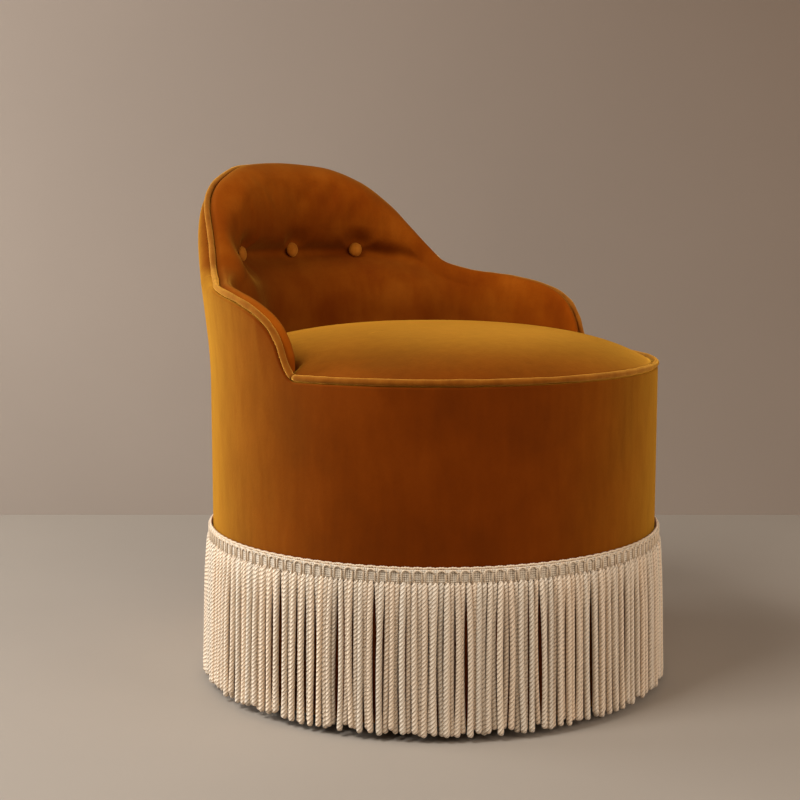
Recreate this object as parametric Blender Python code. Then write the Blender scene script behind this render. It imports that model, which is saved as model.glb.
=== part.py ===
"""A round vanity stool with a low wrap-around back, padded and covered in velvet, with a bullion fringe.

A drum of plywood rings, posts and bent panels stands on glides. Webbing, cloth and foam make the seat, and a
moulded shell with foam over its top edge makes the back. The velvet covers are joined by piping, the inside
back is pulled in by three covered buttons, and a comb of cotton strands hangs from a band round the drum.

Metres, +Z up, with the origin on the floor under the middle of the whole stool, which is a little behind the
drum's axis because the back leans out. The back is towards +Y. Pieces are placed from the drum's axis. An
angle round the drum is in degrees from the middle of the back, and is positive towards +X.
"""

import math
import random

import bmesh
import bpy
import numpy as np
from mathutils import Matrix, Vector

# Drum, seat and the line of the piping
DRUM_RADIUS = 0.270  # outside of the velvet, low down
SEAT_EDGE = 0.383  # centre of the piping round the seat
SEAT_CROWN = 0.040  # rise of the cushion above its edge
SEAT_CROWN_POWER = 3.8
BACK_RISE = 0.2398  # from the seat's edge to the centre of the piping at the middle of the back
ARM_RISE = 0.0945  # from the seat's edge to the piping where the back has come down to the arms
ARM_END_ANGLE = 99.0  # where the arm's piping has come down to the seat's
ARM_FRONT_ANGLE = 95.2  # where the padded front edge of the arm runs down beside the seat
PIPING_RADIUS = 0.0037
PIPING_FINENESS = 1
PIPING_PROUD = 0.0012  # how far the piping stands out of the velvet
PIPING_GAP = 0.0005

# The outline from the middle of the back to the end of an arm: shares of ARM_END_ANGLE, then of the rise
BACK_LINE_SHARES = (
    (0.0, 1.0), (0.125, 0.976), (0.2525, 0.845), (0.342, 0.634), (0.402, 0.427),
    (0.4626, 0.225), (0.505, 0.105), (0.572, 0.033), (0.626, 0.0),
)
ARM_LINE_SHARES = (
    (0.68, 0.97), (0.742, 0.92), (0.818, 0.839), (0.883, 0.715), (0.917, 0.595), (0.937, 0.477),
    (0.9515, 0.3545), (0.9586, 0.256), (0.9677, 0.153), (0.978, 0.07), (0.99, 0.012), (1.0, 0.0),
)
LINE_STEP = 0.002

# Towards the top the outer wall leans out in two steps, more at the shoulders of the back
FLARE_SLOPE = 0.104
FLARE_BELOW = 0.018  # where it starts, under the seat's edge
FLARE_STEP = 0.040
SHOULDER_SLOPE = 0.033
SHOULDER_ANGLE = 35.0
SHOULDER_SPREAD = 8.0

# The wall's top edge is rounded in to the piping, by more where the back sweeps into the arms
EDGE_ROUND = 0.014
TUCK = 0.003
CORNER_TUCK = 0.011
CORNER_ANGLE = 49.0
CORNER_SPREAD = 16.0
EDGE_TURN = 45.0  # degrees that the edge turns before it meets the piping
CORNER_TURN = 38.0
EDGE_TURN_SHARE = 0.6
ARM_FADE = 11.0  # degrees over which flare and tuck run out at the end of an arm

# Thicknesses and gaps
CLEAR = 0.0003
SHELL_CLEAR = 0.0006  # between curved shells, whose facets don't match
EDGE_CLEAR = 0.0015  # between the foam and the rounded edge of the cover
BOARD_CLEAR = 0.0008
SEAT_CLEAR = 0.0012
OUTSIDE_COVER = 0.0024  # velvet over wadding
COVER = 0.0016
PANEL = 0.006
BOARD = 0.018
CLOTH = 0.0008

# Base
GLIDE_HEIGHT = 0.014
GLIDE_RADIUS = 0.013
GLIDE_TOP_RADIUS = 0.009
GLIDE_BEVEL = 0.002
GLIDES = 6
BOARD_RING = 0.061
POSTS = 8
POST_WIDTH = 0.042
POST_DEPTH = 0.034
POST_BEVEL = 0.003
SEAT_BOARD_DROP = 0.0477  # from the seat's edge down to the top of the board
PANEL_JOINT_ANGLE = 88.0  # where the back panel ends and the front panel starts
PANEL_JOINT_GAP = 0.4

# Webbing, woven over and under
WEB_WIDTH = 0.045
WEB = 0.0025
WEB_PITCH = 0.066
WEB_STRIPS = 4
WEB_END_INSET = 0.0102  # of its tacked ends from the rim of the seat board
WEB_MARGIN = 0.001

# Back padding, as a section across its top roll
PAD = 0.043  # from the outer wall to the velvet inside
PAD_SHARES = ((0.0, 1.0), (0.45, 1.0), (0.75, 0.74), (1.0, 0.56))  # along the line to the arm's front
ROLL_DEPTH = 0.018
ROLL_RISE = 0.004
ROLL_TOP_DEPTH = 0.0156  # the highest line of the roll, inwards from the outer wall
ROLL_OUTER = 0.011
ROLL_STEPS = (133.0, 90.0, 55.0, 25.0, 0.0)  # degrees round the roll from the seam
LIP = 0.0288  # how far the foam comes down outside, over the edge of the panel
PANEL_INSET = 0.030
UPPER_ROW_SHARES = (0.4, 0.76, 1.0)
LOWER_ROW_SHARES = (0.16, 0.4, 0.7, 1.0)
LUMBAR = 0.007
LUMBAR_SHARE = 0.45  # height of the fullest line between the seat and the crease
LUMBAR_SPREAD = 0.035
CREASE = 0.008
CREASE_SPREAD = 0.012
CREASE_FALL_SHARE = 0.9  # where the crease runs out, as a share of the corner's angle
CREASE_FADE = 3.7
UPPER_SWELL = 0.003
CORNER_PAD = 0.010  # how much fuller it is between the outer buttons and the corners
CORNER_PAD_ANGLE = 40.0
CORNER_PAD_SPREAD = 10.0

# Buttons
BUTTONS = 3
BUTTON_ANGLE = 23.8
BUTTON_DROP = 0.1138  # from the top of the back down to the buttons
BUTTON_RADIUS = 0.0095
BUTTON_DOME = 0.0045
BUTTON_EDGE = 0.0008
BUTTON_SHARES = ((0.5, 0.8), (0.87, 0.38), (1.0, 0.0))  # of its radius, then of its dome, down to the edge
BUTTON_RIM_SHARE = 0.9
BUTTON_STEM_SHARE = 0.1
TUFT = 0.016
TUFT_SPREAD = 0.020
BUTTON_LIFT = 0.0038  # of its rim above the bottom of the tuft
TWINE_RADIUS = 0.0007
TWINE_HOLE = 0.0013
KNOT_RADIUS = 0.0025
KNOT = 0.0007
WASHER_RADIUS = 0.009
WASHER = 0.0009
RECESS = 0.0022

# Fringe
FRINGE_TOP = 0.1885
BAND_HEIGHT = 0.0175
BAND = 0.0015
BAND_FOOT = 0.0043
FRINGE_BOTTOM = 0.006
STRANDS = 300
STRANDS_PER_PANEL = 5
STRAND_WIDTH = 0.0042
STRAND_FOOT_WIDTH = 0.0046
STRAND_FOOT = 0.0052
STRAND_REACH = 0.0085  # how far the strands' feet stand out from the velvet
STRAND_SCATTER = 0.003
STRAND_LEAN = 0.0012
LEAN_WAVES = 23
LEAN_SCATTER_SHARE = 0.25
SCATTER_SEED = 7
HEADER = 0.0020
HEADER_HEIGHT = 0.0186

# Fineness
MERGE = 1e-6
SHARP_ANGLE = 40.0
BACK_COLUMNS = 21
FRONT_COLUMNS = 15
STEEP_START_SHARE = 0.85
STEEP_SHARES = (0.873, 0.897, 0.917, 0.933, 0.946, 0.956, 0.965, 0.974, 0.982, 0.991, 1.0)
PAD_ARM_COLUMNS = 14
PAD_END_COLUMNS = 4  # over which the foam's lip shortens at an arm's front
PAD_BACK_COLUMNS = 11
COLUMNS_PER_BUTTON = 5
RING_SEGMENTS = 48
TRIM_SEGMENTS = 60
GLIDE_SEGMENTS = 16
BUTTON_SEGMENTS = 14
TWINE_SEGMENTS = 8
HOLE_SEGMENTS = 12
WASHER_SEGMENTS = 16
SEAT_BACK_COLUMNS = 13
SEAT_FRONT_COLUMNS = 13
NOTCH_STEPS = (0.0, 25.0, 55.0, 90.0)  # degrees round the roll, as its own
SEAT_ROW_SHARES = (0.45, 0.75, 0.92, 1.0)
SKIRT = 0.010

# Levels, from the floor up
DUST_BOTTOM = GLIDE_HEIGHT + CLEAR
BASE_BOTTOM = DUST_BOTTOM + CLOTH + CLEAR
BACK_HEIGHT = SEAT_EDGE + BACK_RISE
ARM_HEIGHT = SEAT_EDGE + ARM_RISE
SEAT_BOARD_TOP = SEAT_EDGE - SEAT_BOARD_DROP
BASE_TOP = BASE_BOTTOM + BOARD
SEAT_BOARD_BOTTOM = SEAT_BOARD_TOP - BOARD
WEB_LEVEL = SEAT_BOARD_TOP + CLEAR + WEB / 2
WEB_WEAVE = (WEB + CLEAR) / 2
CLOTH_BOTTOM = WEB_LEVEL + WEB_WEAVE + WEB / 2 + CLEAR
PAD_BOTTOM = CLOTH_BOTTOM + CLOTH + CLEAR
BOARD_RADIUS = DRUM_RADIUS - OUTSIDE_COVER - SHELL_CLEAR - PANEL - BOARD_CLEAR
BOARD_HOLE = BOARD_RADIUS - BOARD_RING
WEB_END_RADIUS = BOARD_RADIUS - WEB_END_INSET
BUTTON_HEIGHT = BACK_HEIGHT - BUTTON_DROP
PIPING_INSET = PIPING_RADIUS - PIPING_PROUD
SEAT_RADIUS = DRUM_RADIUS - PIPING_INSET - PIPING_RADIUS - SHELL_CLEAR
TRIM_SAG = DRUM_RADIUS * (1 - math.cos(math.pi / TRIM_SEGMENTS))

VELVET = (0.36, 0.125, 0.012)
PLYWOOD = (0.55, 0.38, 0.21)
BEECH = (0.60, 0.40, 0.23)
FOAM = (0.72, 0.66, 0.48)
COTTON = (0.66, 0.55, 0.41)
JUTE = (0.37, 0.26, 0.14)
BLACK_CLOTH = (0.02, 0.02, 0.02)
NYLON = (0.10, 0.08, 0.07)
STEEL = (0.55, 0.55, 0.56)
DULL = 0.9
SATIN = 0.6
ZINC_ROUGHNESS = 0.35


def clear_scene():
    for obj in list(bpy.data.objects):
        bpy.data.objects.remove(obj, do_unlink=True)


def material(name, colour, roughness, metallic=0.0):
    found = bpy.data.materials.get(name)
    if found:
        return found
    made = bpy.data.materials.new(name)
    made.use_nodes = True
    shader = made.node_tree.nodes["Principled BSDF"]
    shader.inputs["Base Color"].default_value = (*colour, 1.0)
    shader.inputs["Roughness"].default_value = roughness
    shader.inputs["Metallic"].default_value = metallic
    made.diffuse_color = (*colour, 1.0)
    return made


def add_object(name, data, finish, parent):
    obj = bpy.data.objects.new(name, data)
    obj.data.materials.append(finish)
    obj.parent = parent
    bpy.context.scene.collection.objects.link(obj)
    return obj


def add_mesh(name, bm, finish, parent):
    """Closes a bmesh's seams, turns its faces outwards and makes it an object."""
    bmesh.ops.remove_doubles(bm, verts=bm.verts, dist=MERGE)
    bmesh.ops.recalc_face_normals(bm, faces=bm.faces)
    mesh = bpy.data.meshes.new(name)
    bm.to_mesh(mesh)
    bm.free()
    mesh.shade_smooth()
    mesh.set_sharp_from_angle(angle=math.radians(SHARP_ANGLE))
    return add_object(name, mesh, finish, parent)


def loft(name, sections, finish, parent, ring=False, split=False):
    """A solid through closed sections that have as many points each, capped at its ends unless it is a ring.

    With split, its faces are triangles cut the same way, so that a layer on the same grid lies flat on it.
    """
    bm = bmesh.new()
    loops = [[bm.verts.new(point) for point in section] for section in sections]
    pairs = list(zip(loops, loops[1:]))
    if ring:
        pairs.append((loops[-1], loops[0]))
    for first, second in pairs:
        for i in range(len(first)):
            j = (i + 1) % len(first)
            if split:
                bm.faces.new((first[i], first[j], second[j]))
                bm.faces.new((first[i], second[j], second[i]))
            else:
                bm.faces.new((first[i], first[j], second[j], second[i]))
    if not ring:
        bm.faces.new(reversed(loops[0]))
        bm.faces.new(loops[-1])
    return add_mesh(name, bm, finish, parent)


def turned(name, profile, segments, finish, parent, place=None):
    """A solid of revolution from (radius, height) points that end on the axis or where they start."""
    bm = bmesh.new()
    verts = [bm.verts.new((radius, 0, height)) for radius, height in profile]
    edges = [bm.edges.new(pair) for pair in zip(verts, verts[1:])]
    bmesh.ops.spin(
        bm, geom=verts + edges, cent=(0, 0, 0), axis=(0, 0, 1),
        angle=math.tau, steps=segments, use_merge=True,
    )
    obj = add_mesh(name, bm, finish, parent)
    if place is not None:
        obj.matrix_local = place
    return obj


def at(angle, radius, height):
    turn = math.radians(angle)
    return Vector((radius * math.sin(turn), radius * math.cos(turn), height))


def smooth_curve(ts, values, level_ends):
    """A function through the points that never swings past them, with slopes as in a monotone cubic."""
    ts = np.asarray(ts, float)
    values = np.asarray(values, float)
    widths = np.diff(ts)
    slopes = np.diff(values) / widths
    bends = np.zeros(len(ts))
    if not level_ends:
        bends[0], bends[-1] = slopes[0], slopes[-1]
    for i in range(1, len(ts) - 1):
        before, after = slopes[i - 1], slopes[i]
        if before * after > 0:
            first = 2 * widths[i] + widths[i - 1]
            second = widths[i] + 2 * widths[i - 1]
            bends[i] = (first + second) / (first / before + second / after)

    def value(t):
        i = np.clip(np.searchsorted(ts, t) - 1, 0, len(widths) - 1)
        u = (t - ts[i]) / widths[i]
        rise = values[i] * (1 + 2 * u) * (1 - u) ** 2 + values[i + 1] * (3 - 2 * u) * u**2
        return rise + widths[i] * u * (1 - u) * (bends[i] * (1 - u) - bends[i + 1] * u)

    return value


def outline_points():
    """The chosen points of the piping's line on one side, as (distance round the drum, height)."""
    points = []
    for shares, foot, top in (
        (BACK_LINE_SHARES, ARM_HEIGHT, BACK_HEIGHT),
        (ARM_LINE_SHARES, SEAT_EDGE, ARM_HEIGHT),
    ):
        for angle_share, rise_share in shares:
            turn = math.radians(ARM_END_ANGLE * angle_share)
            points.append((DRUM_RADIUS * turn, foot + (top - foot) * rise_share))
    return np.array(points)


def lengths_along(points):
    return np.concatenate([[0.0], np.cumsum(np.hypot(*np.diff(points, axis=0).T))])


def piping_line():
    """The piping's line on one side at even steps, from the middle of the back to the end of the arm."""
    points = outline_points()
    lengths = lengths_along(points)
    steps = np.linspace(0.0, lengths[-1], round(lengths[-1] / LINE_STEP))
    around = smooth_curve(lengths, points[:, 0], False)
    height = smooth_curve(lengths, points[:, 1], True)
    return np.stack([around(steps), height(steps)], axis=1)


def normals_out(line):
    """At each point of a line that runs away from the middle of the back, the direction out of the cover."""
    along = np.gradient(line, axis=0)
    along /= np.linalg.norm(along, axis=1)[:, None]
    return np.stack([-along[:, 1], along[:, 0]], axis=1)


def full_line():
    """The piping's line on one side, carried on round the seat's front."""
    line = piping_line()
    front = np.arange(line[-1, 0] + LINE_STEP, math.pi * DRUM_RADIUS + LINE_STEP, LINE_STEP)
    return np.concatenate([line, np.stack([front, np.full(len(front), SEAT_EDGE)], axis=1)])


FULL_LINE = full_line()
FULL_NORMALS = normals_out(FULL_LINE)


def edge_height(angle, inset):
    """How high the covers' edge is at this angle, drawn in by an inset."""
    moved = FULL_LINE - FULL_NORMALS * inset
    around = np.maximum.accumulate(moved[:, 0])
    return float(np.interp(math.radians(abs(angle)) * DRUM_RADIUS, around, moved[:, 1]))


def bump(angle, middle, spread, power):
    """One at the middle angle on either side, falling to nothing over the spread."""
    return math.exp(-(abs((abs(angle) - middle) / spread) ** power))


def arm_fade(angle):
    return min(1.0, max(0.0, (ARM_END_ANGLE - abs(angle)) / ARM_FADE))


def flare_slope(angle):
    return FLARE_SLOPE + SHOULDER_SLOPE * bump(angle, SHOULDER_ANGLE, SHOULDER_SPREAD, 2)


def wall_radius(angle, height):
    """The outside of the velvet, which leans out by half its slope at first and fully from a step above."""
    above = height - SEAT_EDGE + FLARE_BELOW
    lean = flare_slope(angle) * arm_fade(angle) / 2
    return DRUM_RADIUS + lean * (max(0.0, above) + max(0.0, above - FLARE_STEP))


def bends_below(top):
    """The heights where the wall's slope changes, or the wall's top where that is lower."""
    start = SEAT_EDGE - FLARE_BELOW
    return [min(height, top) for height in (start, start + FLARE_STEP)]


def tuck(angle):
    """How far the wall's edge is drawn in where it meets the piping."""
    return TUCK * arm_fade(angle) + CORNER_TUCK * bump(angle, CORNER_ANGLE, CORNER_SPREAD, 4)


def edge_turns(angle):
    """Degrees round the rounded edge, from the piping down to the wall."""
    end = EDGE_TURN + CORNER_TURN * bump(angle, CORNER_ANGLE, CORNER_SPREAD, 4)
    return end, end * EDGE_TURN_SHARE, 0.0


def edge_point(angle, turn, depth):
    """A point of the rounded edge at a depth under the velvet: its inset and its depth in the wall."""
    across, up = math.cos(math.radians(turn)), math.sin(math.radians(turn))
    drawn = max(MERGE, tuck(angle))
    slope = math.hypot(across / drawn, up / EDGE_ROUND)
    inset = EDGE_ROUND * (1 - up) + depth * up / EDGE_ROUND / slope
    return inset, drawn * (1 - across) + depth * across / drawn / slope


def column_angles():
    """Angles on one side, closer together where the arm's edge is steep."""
    back = np.linspace(0, STEEP_START_SHARE * ARM_END_ANGLE, BACK_COLUMNS)
    steep = np.array(STEEP_SHARES) * ARM_END_ANGLE
    front = np.linspace(ARM_END_ANGLE, 180, FRONT_COLUMNS + 1)[1:]
    return np.concatenate([back, steep, front])


def both_sides(angles):
    """Angles of both sides in order round the drum, with the middle of the back and of the front once."""
    angles = list(angles)
    left = [-angle for angle in reversed(angles) if 0 < angle < 180]
    return left + angles


def piping(name, points, finish, parent):
    curve = bpy.data.curves.new(name, "CURVE")
    curve.dimensions = "3D"
    curve.bevel_depth = PIPING_RADIUS
    curve.bevel_resolution = PIPING_FINENESS
    curve.use_fill_caps = True
    spline = curve.splines.new("POLY")
    spline.points.add(len(points) - 1)
    for spot, point in zip(spline.points, points):
        spot.co = (*point, 1.0)
    return add_object(name, curve, finish, parent)


def build_pipings(parent, velvet):
    """Both pipings follow the covers' columns, so that they lie along the covers' facets."""
    angles = column_angles()
    gap = math.degrees(PIPING_GAP / DRUM_RADIUS)

    def spot(angle):
        height = edge_height(angle, 0.0)
        return at(angle, wall_radius(angle, height) - tuck(angle) - PIPING_INSET, height)

    arm = [angle for angle in angles if angle < ARM_END_ANGLE]
    arm = both_sides(arm + [ARM_END_ANGLE - gap])
    piping("back_piping", [spot(angle) for angle in arm], velvet, parent)
    front = [ARM_END_ANGLE + gap] + [angle for angle in angles if ARM_END_ANGLE < angle]
    front = front + [360 - angle for angle in reversed(front) if angle < 180]
    piping("seat_piping", [spot(angle) for angle in front], velvet, parent)


def build_outside_cover(parent, velvet):
    """One tube of velvet round the drum, whose top edge is rounded in under the piping."""
    sections = []
    for angle in both_sides(column_angles()):
        layers = []
        for depth in (0.0, OUTSIDE_COVER):
            layer = []
            for turn in edge_turns(angle):
                inset, inside = edge_point(angle, turn, depth)
                height = edge_height(angle, max(inset, PIPING_RADIUS + CLEAR - inside))
                layer.append((wall_radius(angle, height) - inside, height))
            for height in list(reversed(bends_below(layer[-1][1]))) + [BASE_BOTTOM]:
                layer.append((wall_radius(angle, height) - depth, height))
            layers.append(layer)
        sections.append([at(angle, *point) for point in layers[0] + list(reversed(layers[1]))])
    loft("outside_cover", sections, velvet, parent, ring=True, split=True)


def panel_section(angle, top):
    """A section of the bent panels, which stand inside the outside cover."""
    heights = [BASE_BOTTOM] + bends_below(top) + [top]
    reach = OUTSIDE_COVER + SHELL_CLEAR
    outer = [(wall_radius(angle, height) - reach, height) for height in heights]
    inner = [(radius - PANEL, height) for radius, height in reversed(outer)]
    return [at(angle, *point) for point in outer + inner]


def build_panels(parent, plywood):
    angles = column_angles()
    back = [angle for angle in angles if angle < PANEL_JOINT_ANGLE - PANEL_JOINT_GAP]
    back = both_sides(back + [PANEL_JOINT_ANGLE])
    sections = [panel_section(angle, edge_height(angle, PANEL_INSET)) for angle in back]
    shell = loft("back_panel", sections, plywood, parent, split=True)
    start = PANEL_JOINT_ANGLE + PANEL_JOINT_GAP
    front = [start] + list(np.linspace(ARM_END_ANGLE, 180, FRONT_COLUMNS + 1))
    front = front + [360 - angle for angle in reversed(front) if angle < 180]
    sections = [panel_section(angle, SEAT_BOARD_TOP) for angle in front]
    loft("front_panel", sections, plywood, parent, split=True)
    return shell


def pad_line():
    """The line of the back padding on one side: the piping's, then straight down beside the seat."""
    line = piping_line()
    turn = math.radians(ARM_FRONT_ANGLE) * DRUM_RADIUS
    line = line[line[:, 0] < turn]
    down = np.arange(line[-1, 1] - LINE_STEP, PAD_BOTTOM, -LINE_STEP)
    down = np.append(down, PAD_BOTTOM)
    return np.concatenate([line, np.stack([np.full(len(down), turn), down], axis=1)])


def pad_columns():
    """Points of the pad's line with their outward normals, one in line with each button."""
    line = pad_line()
    lengths = lengths_along(line)
    normals = normals_out(line)
    normals[-1] = (1.0, 0.0)
    step = math.radians(BUTTON_ANGLE / COLUMNS_PER_BUTTON) * DRUM_RADIUS
    spots = [float(np.interp(i * step, line[:, 0], lengths)) for i in range(PAD_BACK_COLUMNS)]
    spots += list(np.linspace(spots[-1], lengths[-1], PAD_ARM_COLUMNS + 1)[1:])
    columns = []
    for spot in spots:
        point = [float(np.interp(spot, lengths, line[:, i])) for i in (0, 1)]
        normal = np.array([np.interp(spot, lengths, normals[:, i]) for i in (0, 1)])
        columns.append((np.array(point), normal / np.linalg.norm(normal)))
    return columns


def crease_height(angle):
    """The crease runs level through the buttons, and falls to the corners of the back."""
    share = min(1.0, max(0.0, (abs(angle) - BUTTON_ANGLE) / (CORNER_ANGLE - BUTTON_ANGLE)))
    return BUTTON_HEIGHT + (ARM_HEIGHT - BUTTON_HEIGHT) * share**2 * (3 - 2 * share)


def padding(angle, height):
    """From the outer wall to the velvet inside, pulled in along the crease and at each button."""
    shares = np.array(PAD_SHARES)
    depth = PAD * float(np.interp(abs(angle) / ARM_FRONT_ANGLE, shares[:, 0], shares[:, 1]))
    depth += CORNER_PAD * bump(angle, CORNER_PAD_ANGLE, CORNER_PAD_SPREAD, 2)
    end = CREASE_FALL_SHARE * CORNER_ANGLE
    fade = 1 / (1 + math.exp((abs(angle) - end) / CREASE_FADE))
    line = crease_height(angle)
    full = SEAT_EDGE + (line - SEAT_EDGE) * LUMBAR_SHARE
    depth += LUMBAR * fade * math.exp(-(((height - full) / LUMBAR_SPREAD) ** 2))
    if height > line:
        depth += UPPER_SWELL * fade * min(1.0, (height - line) / LUMBAR_SPREAD)
    dent = CREASE * fade * math.exp(-(((height - line) / CREASE_SPREAD) ** 2))
    for button in button_angles():
        across = math.radians(angle - button) * (DRUM_RADIUS - PAD)
        away = max(0.0, math.hypot(across, height - BUTTON_HEIGHT) - BUTTON_RADIUS)
        dent = max(dent, TUFT * math.exp(-((away / TUFT_SPREAD) ** 2)))
    return depth - dent


def button_angles():
    return [BUTTON_ANGLE * (i - (BUTTONS - 1) / 2) for i in range(BUTTONS)]


def pad_face(column, end_column, foot_angle):
    """The velvet's points down one column, from the seam over the roll and down the inside."""
    point, normal = column
    foot = np.array([math.radians(foot_angle) * DRUM_RADIUS, PAD_BOTTOM])
    inner = point - normal * ROLL_DEPTH
    inner[1] = max(inner[1], PAD_BOTTOM)
    degrees = math.degrees(inner[0] / DRUM_RADIUS)
    full = padding(degrees, inner[1])
    top = ROLL_TOP_DEPTH + tuck(math.degrees(point[0] / DRUM_RADIUS))
    rows = []
    for turn in ROLL_STEPS:
        up, across = math.sin(math.radians(turn)), math.cos(math.radians(turn))
        inset = ROLL_DEPTH - (ROLL_DEPTH + ROLL_RISE) * up
        spread = full - top if turn < 90 else ROLL_OUTER
        rows.append((point - normal * inset, top + spread * across))
    crease = crease_height(degrees)
    drop = inner[1] - PAD_BOTTOM
    share = (inner[1] - crease) / drop if drop > CLEAR else 1.0
    share = min(max(share, 1 / len(UPPER_ROW_SHARES + LOWER_ROW_SHARES)), 1.0)
    shares = [share * part for part in UPPER_ROW_SHARES]
    shares += [share + (1 - share) * part for part in LOWER_ROW_SHARES]
    rows += [(inner + (foot - inner) * part, None) for part in shares]
    points = []
    for spot, depth in rows:
        angle = math.degrees(spot[0] / DRUM_RADIUS)
        if depth is None:
            depth = full if end_column else padding(angle, spot[1])
        points.append(at(angle, wall_radius(angle, spot[1]) - depth, spot[1]))
    return points


def pad_grid():
    """The grid of the inside velvet, as columns from the left arm's front to the right one's."""
    columns = pad_columns()
    ends = [math.degrees((point - normal * ROLL_DEPTH)[0] / DRUM_RADIUS) for point, normal in columns]
    first = PAD_BACK_COLUMNS + 2
    feet = list(ends)
    for i in range(first, len(ends)):
        share = (i - first) / (len(ends) - 1 - first)
        feet[i] = ends[first] + (ends[-1] - ends[first]) * share
    last = len(columns) - 1
    right = [pad_face(column, i == last, feet[i]) for i, column in enumerate(columns)]
    left = [[Vector((-p.x, p.y, p.z)) for p in face] for face in reversed(right[1:])]
    return left + right, columns, feet


def grid_normals(grid):
    """Normals into the padding at each point of a grid of columns."""
    points = np.array([[tuple(point) for point in column] for column in grid])
    along, down = np.gradient(points, axis=0), np.gradient(points, axis=1)
    normals = np.cross(along, down)
    sizes = np.linalg.norm(normals, axis=2)
    for i, j in np.argwhere(sizes < MERGE**2):
        normals[i, j] = normals[i, j - 1]
        sizes[i, j] = sizes[i, j - 1]
    normals /= sizes[:, :, None]
    normals[(0, -1), :, 2] = 0.0
    return points, normals


def pad_layer(points, normals, depth):
    moved = points + normals * depth
    moved[:, :, 2] = np.maximum(moved[:, :, 2], PAD_BOTTOM)
    return [[Vector(point) for point in column] for column in moved]


def foam_back(column, foot_angle, last_share):
    """The foam's points from its foot up the panel, over the panel's edge and up outside to the seam."""
    point, normal = column
    lip = ROLL_DEPTH + (LIP - ROLL_DEPTH) * last_share
    reach = OUTSIDE_COVER + SHELL_CLEAR
    inside = reach + PANEL + SHELL_CLEAR + CLEAR
    turn = point - normal * lip
    turn[1] = max(turn[1], PAD_BOTTOM)
    foot = np.array([math.radians(foot_angle) * DRUM_RADIUS, PAD_BOTTOM])
    rows = [(foot, inside)]
    for height in bends_below(turn[1]):
        share = (height - foot[1]) / max(CLEAR, turn[1] - foot[1])
        rows.append((foot + (turn - foot) * min(1.0, share), inside))
    rows += [(turn, inside), (turn, reach)]
    angle = math.degrees(point[0] / DRUM_RADIUS)
    for degrees in reversed(edge_turns(angle)[1:]):
        inset, depth = edge_point(angle, degrees, reach + EDGE_CLEAR)
        rows.append((point - normal * inset, depth))
    points = []
    for spot, depth in rows:
        angle = math.degrees(spot[0] / DRUM_RADIUS)
        points.append(at(angle, wall_radius(angle, spot[1]) - depth, spot[1]))
    return points


def build_back_padding(parent, velvet, foam):
    """The inside cover and the foam share one grid, so that they lie face to face."""
    grid, columns, feet = pad_grid()
    points, normals = grid_normals(grid)
    outer = pad_layer(points, normals, 0.0)
    inner = pad_layer(points, normals, COVER)
    sections = [back + list(reversed(front)) for front, back in zip(outer, inner)]
    cover = loft("inside_back_cover", sections, velvet, parent, split=True)
    last = len(columns) - 1
    backs = []
    for i, column in enumerate(columns):
        backs.append(foam_back(column, feet[i], min(1.0, (last - i) / PAD_END_COLUMNS)))
    backs = [[Vector((-p.x, p.y, p.z)) for p in back] for back in reversed(backs[1:])] + backs
    fronts = pad_layer(points, normals, COVER + CLEAR)
    sections = [front + back for front, back in zip(fronts, backs)]
    body = loft("back_foam", sections, foam, parent, split=True)
    return cover, body


def seat_radius(angle):
    """The seat's edge: under the piping at the front, and along the inside of the back and arms behind."""
    around = math.radians(abs(angle)) * DRUM_RADIUS - SEAT_CLEAR
    past = around - math.radians(ARM_FRONT_ANGLE) * DRUM_RADIUS
    if past > ROLL_RISE + MERGE:
        return SEAT_RADIUS
    up = min(1.0, max(0.0, (past + ROLL_DEPTH) / (ROLL_DEPTH + ROLL_RISE)))
    levels = (PAD_BOTTOM, SEAT_EDGE, SEAT_EDGE + SEAT_CROWN / 2)
    inner = min(abs(angle), ARM_FRONT_ANGLE - math.degrees(ROLL_DEPTH / DRUM_RADIUS))
    full = max(padding(inner, level) - wall_radius(inner, level) for level in levels) + DRUM_RADIUS
    depth = ROLL_TOP_DEPTH + (full - ROLL_TOP_DEPTH) * math.sqrt(1 - up**2)
    return DRUM_RADIUS - depth - SEAT_CLEAR


def seat_angles():
    """Angles all round the seat, closer together round the arms' front edges."""
    notch = []
    for step in NOTCH_STEPS:
        past = (ROLL_DEPTH + ROLL_RISE) * math.sin(math.radians(step)) - ROLL_DEPTH + SEAT_CLEAR
        notch.append(ARM_FRONT_ANGLE + math.degrees(past / DRUM_RADIUS))
    notch.append(notch[-1] + PANEL_JOINT_GAP)
    side = list(np.linspace(0, STEEP_START_SHARE * ARM_END_ANGLE, SEAT_BACK_COLUMNS))
    side += notch + list(np.linspace(ARM_END_ANGLE, 180, SEAT_FRONT_COLUMNS))
    return both_sides(side)


def seat_dome(layer):
    """Rings of the seat's top from the middle out, a layer's thickness below the velvet."""
    rings = []
    for share in SEAT_ROW_SHARES:
        ring = []
        for angle in seat_angles():
            radius = seat_radius(angle) * share
            crown = SEAT_CROWN * (1 - (radius / SEAT_RADIUS) ** SEAT_CROWN_POWER)
            inward = layer if share == 1 else 0.0
            ring.append(at(angle, radius - inward, SEAT_EDGE + crown - layer))
        rings.append(ring)
    return Vector((0, 0, SEAT_EDGE + SEAT_CROWN - layer)), rings


def fan_and_rings(bm, middle, rings):
    """Faces from a middle point out through the rings."""
    centre = bm.verts.new(middle)
    loops = [[bm.verts.new(point) for point in ring] for ring in rings]
    count = len(loops[0])
    for i in range(count):
        j = (i + 1) % count
        bm.faces.new((centre, loops[0][i], loops[0][j]))
        for first, second in zip(loops, loops[1:]):
            bm.faces.new((first[i], second[i], second[j], first[j]))
    return loops[-1]


def join_rims(bm, first, second):
    for i in range(len(first)):
        j = (i + 1) % len(first)
        bm.faces.new((first[i], second[i], second[j], first[j]))


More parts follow.
